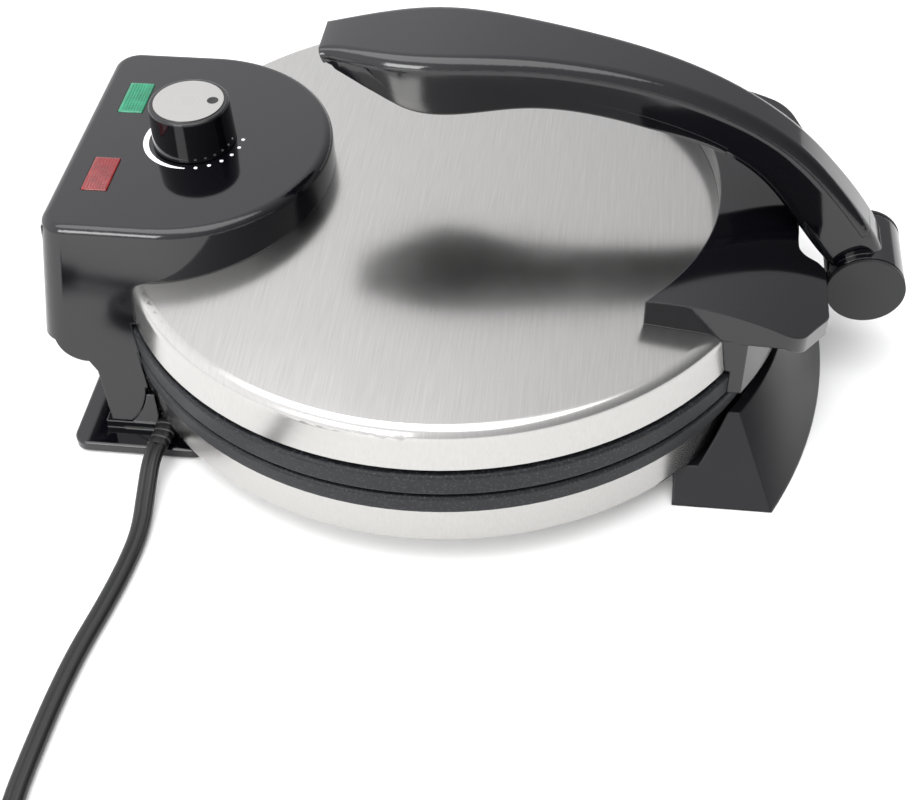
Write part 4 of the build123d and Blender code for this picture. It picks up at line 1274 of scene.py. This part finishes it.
@dataclass
class HandleEdges:
    """The crisp lower edges of the grip, which run along the handle body's rounded ones.

    Attributes:
        plate_x: the plates' axis.
        tip_x: where the edges start near the grip's tip, from the plates' axis, in millimetres.
        crisp_x: where they are fully crisp, in millimetres.
        bend_x: where the straight slope from the tip meets the grip's belly, in millimetres.
        end_x: where they run out on the arm, in millimetres.
        stations: how many cross sections each edge has.
        corner: the crisp edge's radius, in millimetres.
        blend: the radius that it runs out into at both ends, in millimetres.
        reach: how far each edge's flanks reach up the side and under the grip, in millimetres.
        proud: how far the edge stands off the body, in millimetres.
        sink: how far its flanks' ends lie inside the body, in millimetres.
        fade_in: how crisp the edge is where it starts, 1 being fully.
        fade_out: the share of its length in which it runs out on the arm.
        side_share: the most of the body's side that a flank covers.
        under_share: the most of the body's half width that it covers underneath.
        arc_steps: how many steps the crisp corner has.
        below: a height under the whole grip, in metres.
        above: a height over it, in metres.
        beside: a distance to the side of it, in metres.
    """

    plate_x: float
    tip_x: float = -41.0
    crisp_x: float = -38.0
    bend_x: float = -13.0
    end_x: float = 104.0
    stations: int = 96
    corner: float = 1.1
    blend: float = 4.9
    reach: float = 5.6
    proud: float = 0.03
    sink: float = 0.02
    fade_in: float = 0.6
    fade_out: float = 0.2
    side_share: float = 0.92
    under_share: float = 0.6
    arc_steps: int = 6
    below: float = 0.07
    above: float = 0.3
    beside: float = 0.1

    def measure(self, body: bpy.types.Object, x: float) -> tuple[float, float, float]:
        """Feels the body's underside, its side and its seam at one place along the grip.

        Args:
            body: the handle's body.
            x: the place along the grip, in metres.

        Returns:
            The underside's height, the side's distance from the middle plane and how far
            the edge's flank reaches up, in metres.
        """
        under = body.ray_cast((x, 0, self.below), (0, 0, 1))[1].z
        seam = body.ray_cast((x, 0, self.above), (0, 0, -1))[1].z
        height = min(self.reach * MM, self.side_share * (seam - under))
        side = abs(body.ray_cast((x, -self.beside, under + height), (0, 1, 0))[1].y)
        return under, side, height

    def section(
        self, share: float, under: float, side: float, height: float, low: float
    ) -> list[tuple[float, float]]:
        """One cross section of an edge as distances from the middle plane and heights.

        Args:
            share: how far along the edge it lies, from 0 to 1.
            under: the height of the body's underside.
            side: the side's distance from the middle plane.
            height: how far the flank reaches up.
            low: the height that the edge itself comes down to.

        Returns:
            The closed outline, in metres.
        """
        start = (self.crisp_x - self.tip_x) / (self.end_x - self.tip_x)
        coming = self.fade_in + (1 - self.fade_in) * share / start
        ends = min(coming, (1 - share) / self.fade_out, 1.0)
        radius = min(self.blend + (self.corner - self.blend) * ends, 0.8 * height / MM) * MM
        proud = self.proud * MM * (1 if ends >= 1 else 2 * ends - 1)
        sink = self.sink * MM
        outer, bottom = side + proud, low - proud
        arc = [
            (outer - radius + radius * cos(turn), bottom + radius + radius * sin(turn))
            for turn in (radians(-90 * n / self.arc_steps) for n in range(self.arc_steps + 1))
        ]
        narrow = min(self.reach * MM, side * self.under_share)
        # Where the edge comes down below the body, it reaches in to the middle and fills the gap.
        inward = max(radius, narrow + (side - narrow) * min((under - low) / MM, 1.0))
        flank = (side - sink, under + max(height, radius))
        return [
            flank,
            *arc,
            (outer - inward, low + sink),
            (outer - inward, under + 0.25 * height),
            (side - narrow * 0.6, under + 0.6 * height),
            flank,
        ]

    def edge(self, body: bpy.types.Object, hand: int) -> bpy.types.Object:
        """Makes the edge on one side of the grip.

        Args:
            body: the handle's body.
            hand: 1 for the left side, -1 for the right one.

        Returns:
            The closed edge.
        """
        # The section has the corner's points, and five more that close it inside the body.
        rows = self.arc_steps + 5
        deselect_all()
        bpy.ops.mesh.primitive_grid_add(x_subdivisions=self.stations, y_subdivisions=rows, size=1)
        piece = new_piece(f"grip_edge_{hand}")
        places = []
        tip, bend = (
            self.measure(body, self.plate_x + x * MM)[0] for x in (self.tip_x, self.bend_x)
        )
        for station in range(self.stations + 1):
            share = station / self.stations
            along = self.tip_x + (self.end_x - self.tip_x) * share
            x = self.plate_x + along * MM
            under, side, height = self.measure(body, x)
            slope = tip + (bend - tip) * (along - self.tip_x) / (self.bend_x - self.tip_x)
            low = min(under, slope) if along < self.bend_x else under
            outline = self.section(share, under, side, height, low)
            places.append([(x, hand * across, up) for across, up in outline])
        for index, vertex in enumerate(piece.data.vertices):
            row, station = divmod(index, self.stations + 1)
            vertex.co = places[station][row]
        select_only(piece)
        bpy.ops.object.mode_set(mode="EDIT")
        bpy.ops.mesh.select_all(action="SELECT")
        bpy.ops.mesh.remove_doubles(threshold=MERGE_DISTANCE)
        bpy.ops.mesh.fill_holes(sides=0)
        bpy.ops.object.mode_set(mode="OBJECT")
        tidy_mesh(piece)
        return piece

    def build(self, finishes: Finishes) -> None:
        """Makes both edges as one piece on the handle.

        Args:
            finishes: the materials.
        """
        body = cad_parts["handle_body"]
        bpy.context.view_layer.update()
        pair = join([self.edge(body, hand) for hand in (1, -1)], "grip_edges")
        settle(pair)
        dress(pair, finishes.gloss, "handle")
        log.info("grip edges: two")


@dataclass
class FootScrews:
    """The four cross-head screws under the feet.

    Attributes:
        plate_x: the plates' axis.
        spots: each screw's place from that axis, in millimetres.
        seat_z: the height of the heads' seats, in millimetres.
        head_radius: the heads' radius, in millimetres.
        head_height: their height, in millimetres.
        shank_radius: the shanks' radius, in millimetres.
        slot: the length, width and depth of the block that cuts each slot, in millimetres.
    """

    plate_x: float
    spots: tuple[tuple[float, float], ...] = (
        (-98.0, 38.0),
        (-98.0, -38.0),
        (102.0, 35.0),
        (102.0, -35.0),
    )
    seat_z: float = 6.0
    head_radius: float = 3.8
    head_height: float = 2.4
    shank_radius: float = 2.0
    slot: Point = (3.6, 0.9, 2.6)

    def build(self, finishes: Finishes) -> None:
        """Models one screw and copies it to the other places.

        Args:
            finishes: the materials.
        """
        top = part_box("foot_screws")[1].z
        rings = [
            (-self.head_height, 1.6, 1.6),
            (-self.head_height + 0.25, 2.8, 2.8),
            (-self.head_height + 0.9, 3.55, 3.55),
            (-0.5, self.head_radius, self.head_radius),
            (0.0, self.head_radius, self.head_radius),
            (0.01, self.shank_radius, self.shank_radius),
            (top / MM - self.seat_z - 1.0, self.shank_radius, self.shank_radius),
            (top / MM - self.seat_z, 1.2, 1.2),
        ]
        screw = ringed_form("screw", [(z * MM, x * MM, y * MM) for z, x, y in rings], points=32)
        for turn in (0, pi / 2):
            deselect_all()
            bpy.ops.mesh.primitive_cube_add(
                size=1,
                location=(0, 0, -self.head_height * MM),
                rotation=(0, 0, turn),
                scale=tuple(size * MM for size in self.slot),
            )
            cutter = new_piece("slot_cutter")
            apply_modifier(
                screw, "BOOLEAN", operation="DIFFERENCE", object=cutter, solver="EXACT"
            )
            bpy.data.objects.remove(cutter)
        copies = []
        for number, (x, y) in enumerate(self.spots):
            copy = bpy.data.objects.new(f"screw_{number}", screw.data.copy())
            bpy.context.scene.collection.objects.link(copy)
            settle(copy, Matrix.Translation((self.plate_x + x * MM, y * MM, self.seat_z * MM)))
            copies.append(copy)
        bpy.data.objects.remove(screw)
        group = join(copies, "foot_screws_crosshead")
        settle(group)
        dress(group, finishes.zinc, "base")
        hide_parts("foot_screws")
        log.info("foot screws: %d", len(self.spots))


# ---------------------------------------------------------------- stage
@dataclass(frozen=True)
class Studio:
    """The camera, the pale floor and the soft lights.

    Attributes:
        camera: where the camera stands.
        azimuth: how far it is turned from looking along +Y, in degrees.
        elevation: how far it looks down, in degrees.
        roll: how far the picture is turned, in degrees.
        focal_share: the focal length as a share of the picture's width.
        sensor_mm: the sensor's width.
        clip: the nearest and farthest distance that the camera sees, in metres.
        bright_side: where the brightest of the soft room light comes from.
        wall_dim: the room light's strength on the far side from it.
        wall_bright: its strength on that side.
        floor_size: the floor's length and width, in metres.
        cloud_mm: the size of the patches in the floor's tone.
        boxes: each soft box's name, place, aim and size in metres, and its watts.
    """

    camera: Point = (0.053385, -0.46395, 0.4311)
    azimuth: float = -8.34
    elevation: float = 45.55
    roll: float = -1.9
    focal_share: float = 1500 / 908
    sensor_mm: float = 36.0
    clip: tuple[float, float] = (0.01, 50.0)
    bright_side: Point = (-0.94, -0.1, 0.33)
    wall_dim: float = 0.12
    wall_bright: float = 1.9
    floor_size: float = 8.0
    cloud_mm: float = 400.0
    boxes: tuple[tuple[str, Point, Point, tuple[float, float], float], ...] = (
        ("box_above", (-0.1, -0.2, 1.3), (0, 0, 0.05), (1.5, 1.0), 13.0),
        ("box_front_left", (-0.45, -0.9, 0.5), (-0.2, -0.4, 0), (0.4, 0.4), 5.0),
    )

    def build(self) -> None:
        """Makes the whole stage."""
        self.add_camera()
        self.add_floor()
        self.add_lights()

    def add_camera(self) -> None:
        """Stands the camera at the viewing angle."""
        data = bpy.data.cameras.new("camera")
        data.sensor_fit = "HORIZONTAL"
        data.sensor_width = self.sensor_mm
        data.lens = data.sensor_width * self.focal_share
        data.clip_start, data.clip_end = self.clip
        azimuth, elevation, roll = (radians(a) for a in (self.azimuth, self.elevation, self.roll))
        level = cos(elevation)
        ahead = Vector((sin(azimuth) * level, cos(azimuth) * level, -sin(elevation)))
        right = Vector((cos(azimuth), -sin(azimuth), 0))
        up = right.cross(ahead)
        rolled_right = cos(roll) * right + sin(roll) * up
        rolled_up = -sin(roll) * right + cos(roll) * up
        turn = Matrix((rolled_right, rolled_up, -ahead)).transposed().to_4x4()
        camera = bpy.data.objects.new("camera", data)
        camera.matrix_world = Matrix.Translation(self.camera) @ turn
        bpy.context.scene.collection.objects.link(camera)
        bpy.context.scene.camera = camera

    def add_floor(self) -> None:
        """Lays a wide pale floor with a faint cloud in its tone."""
        deselect_all()
        bpy.ops.mesh.primitive_plane_add(size=self.floor_size, location=(0, 0, 0))
        floor = new_piece("floor")
        paper = Finish("paper_backdrop", "#F7F7F6", roughness=0.9)
        tree, shader, place = paper.start()
        shader.inputs["Specular IOR Level"].default_value = 0.1
        cloud = paper.noise(tree, (place, "Object"), self.cloud_mm, 2)
        paper.vary_colour(tree, shader, cloud, "#F5F5F4")
        floor.data.materials.append(bpy.data.materials[paper.name])

    def add_lights(self) -> None:
        """Fills the room with soft white and hangs wide soft boxes over the object."""
        world = bpy.data.worlds.new("studio")
        world.use_nodes = True
        tree = world.node_tree
        tree.nodes.clear()
        place = add_node(tree, "ShaderNodeTexCoord")
        facing = add_node(
            tree,
            "ShaderNodeVectorMath",
            {"operation": "DOT_PRODUCT"},
            {0: (place, "Generated"), 1: self.bright_side},
        )
        ramp = add_node(
            tree,
            "ShaderNodeMapRange",
            inputs={
                "Value": (facing, "Value"),
                "From Min": -1.0,
                "From Max": 1.0,
                "To Min": self.wall_dim,
                "To Max": self.wall_bright,
            },
        )
        sky = add_node(
            tree,
            "ShaderNodeBackground",
            inputs={"Color": linear("#FDFDFF"), "Strength": (ramp, 0)},
        )
        add_node(tree, "ShaderNodeOutputWorld", inputs={"Surface": (sky, 0)})
        bpy.context.scene.world = world
        for name, spot, aim, size, watts in self.boxes:
            data = bpy.data.lights.new(name, "AREA")
            data.shape = "RECTANGLE"
            data.size, data.size_y = size
            data.energy = watts
            light = bpy.data.objects.new(name, data)
            light.location = spot
            light.rotation_mode = "QUATERNION"
            light.rotation_quaternion = (Vector(spot) - Vector(aim)).to_track_quat("Z", "Y")
            bpy.context.scene.collection.objects.link(light)
        # White stays white, as in a product picture.
        bpy.context.scene.view_settings.view_transform = "Standard"


# ---------------------------------------------------------------- the object
class RotiMaker:
    """The whole roti maker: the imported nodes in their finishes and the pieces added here."""

    def __init__(self) -> None:
        """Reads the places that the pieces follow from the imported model."""
        low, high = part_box("base_pan")
        self.plate_x = (low.x + high.x) / 2
        cap_low, cap_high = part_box("knob_cap")
        panel_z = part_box("hinge_housing")[1].z
        self.knob_centre = Vector(((cap_low.x + cap_high.x) / 2, 0.0, panel_z))
        self.finishes = Finishes(self.knob_centre)

    def dress_nodes(self) -> None:
        """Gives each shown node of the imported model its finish."""
        finish_of = self.finishes.by_node()
        for name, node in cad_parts.items():
            if name not in finish_of:
                continue
            node.data.materials.clear()
            node.data.materials.append(finish_of[name])
            log.info("node %s: %s", name, finish_of[name].name)

    def build(self) -> None:
        """Builds every sub-assembly in order."""
        self.dress_nodes()
        cord = PowerCord(self.plate_x)
        before, end = cord.tail()[-2:]
        entry = (self.plate_x + end[0] * MM, end[1] * MM, end[2] * MM)
        heading = Vector((end[0] - before[0], end[1] - before[1], 0))
        plug = MainsPlug(entry, heading).build(self.finishes)
        cord.build(self.finishes, plug)
        ControlPanel(self.knob_centre).build(self.finishes)
        HandleEdges(self.plate_x).build(self.finishes)
        FootScrews(self.plate_x).build(self.finishes)


def main() -> None:
    """Dresses the roti maker and sets the stage round it."""
    logging.basicConfig(level=logging.INFO, format="%(name)s: %(message)s")
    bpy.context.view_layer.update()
    Studio().build()
    RotiMaker().build()


if __name__ == "__main__":
    main()
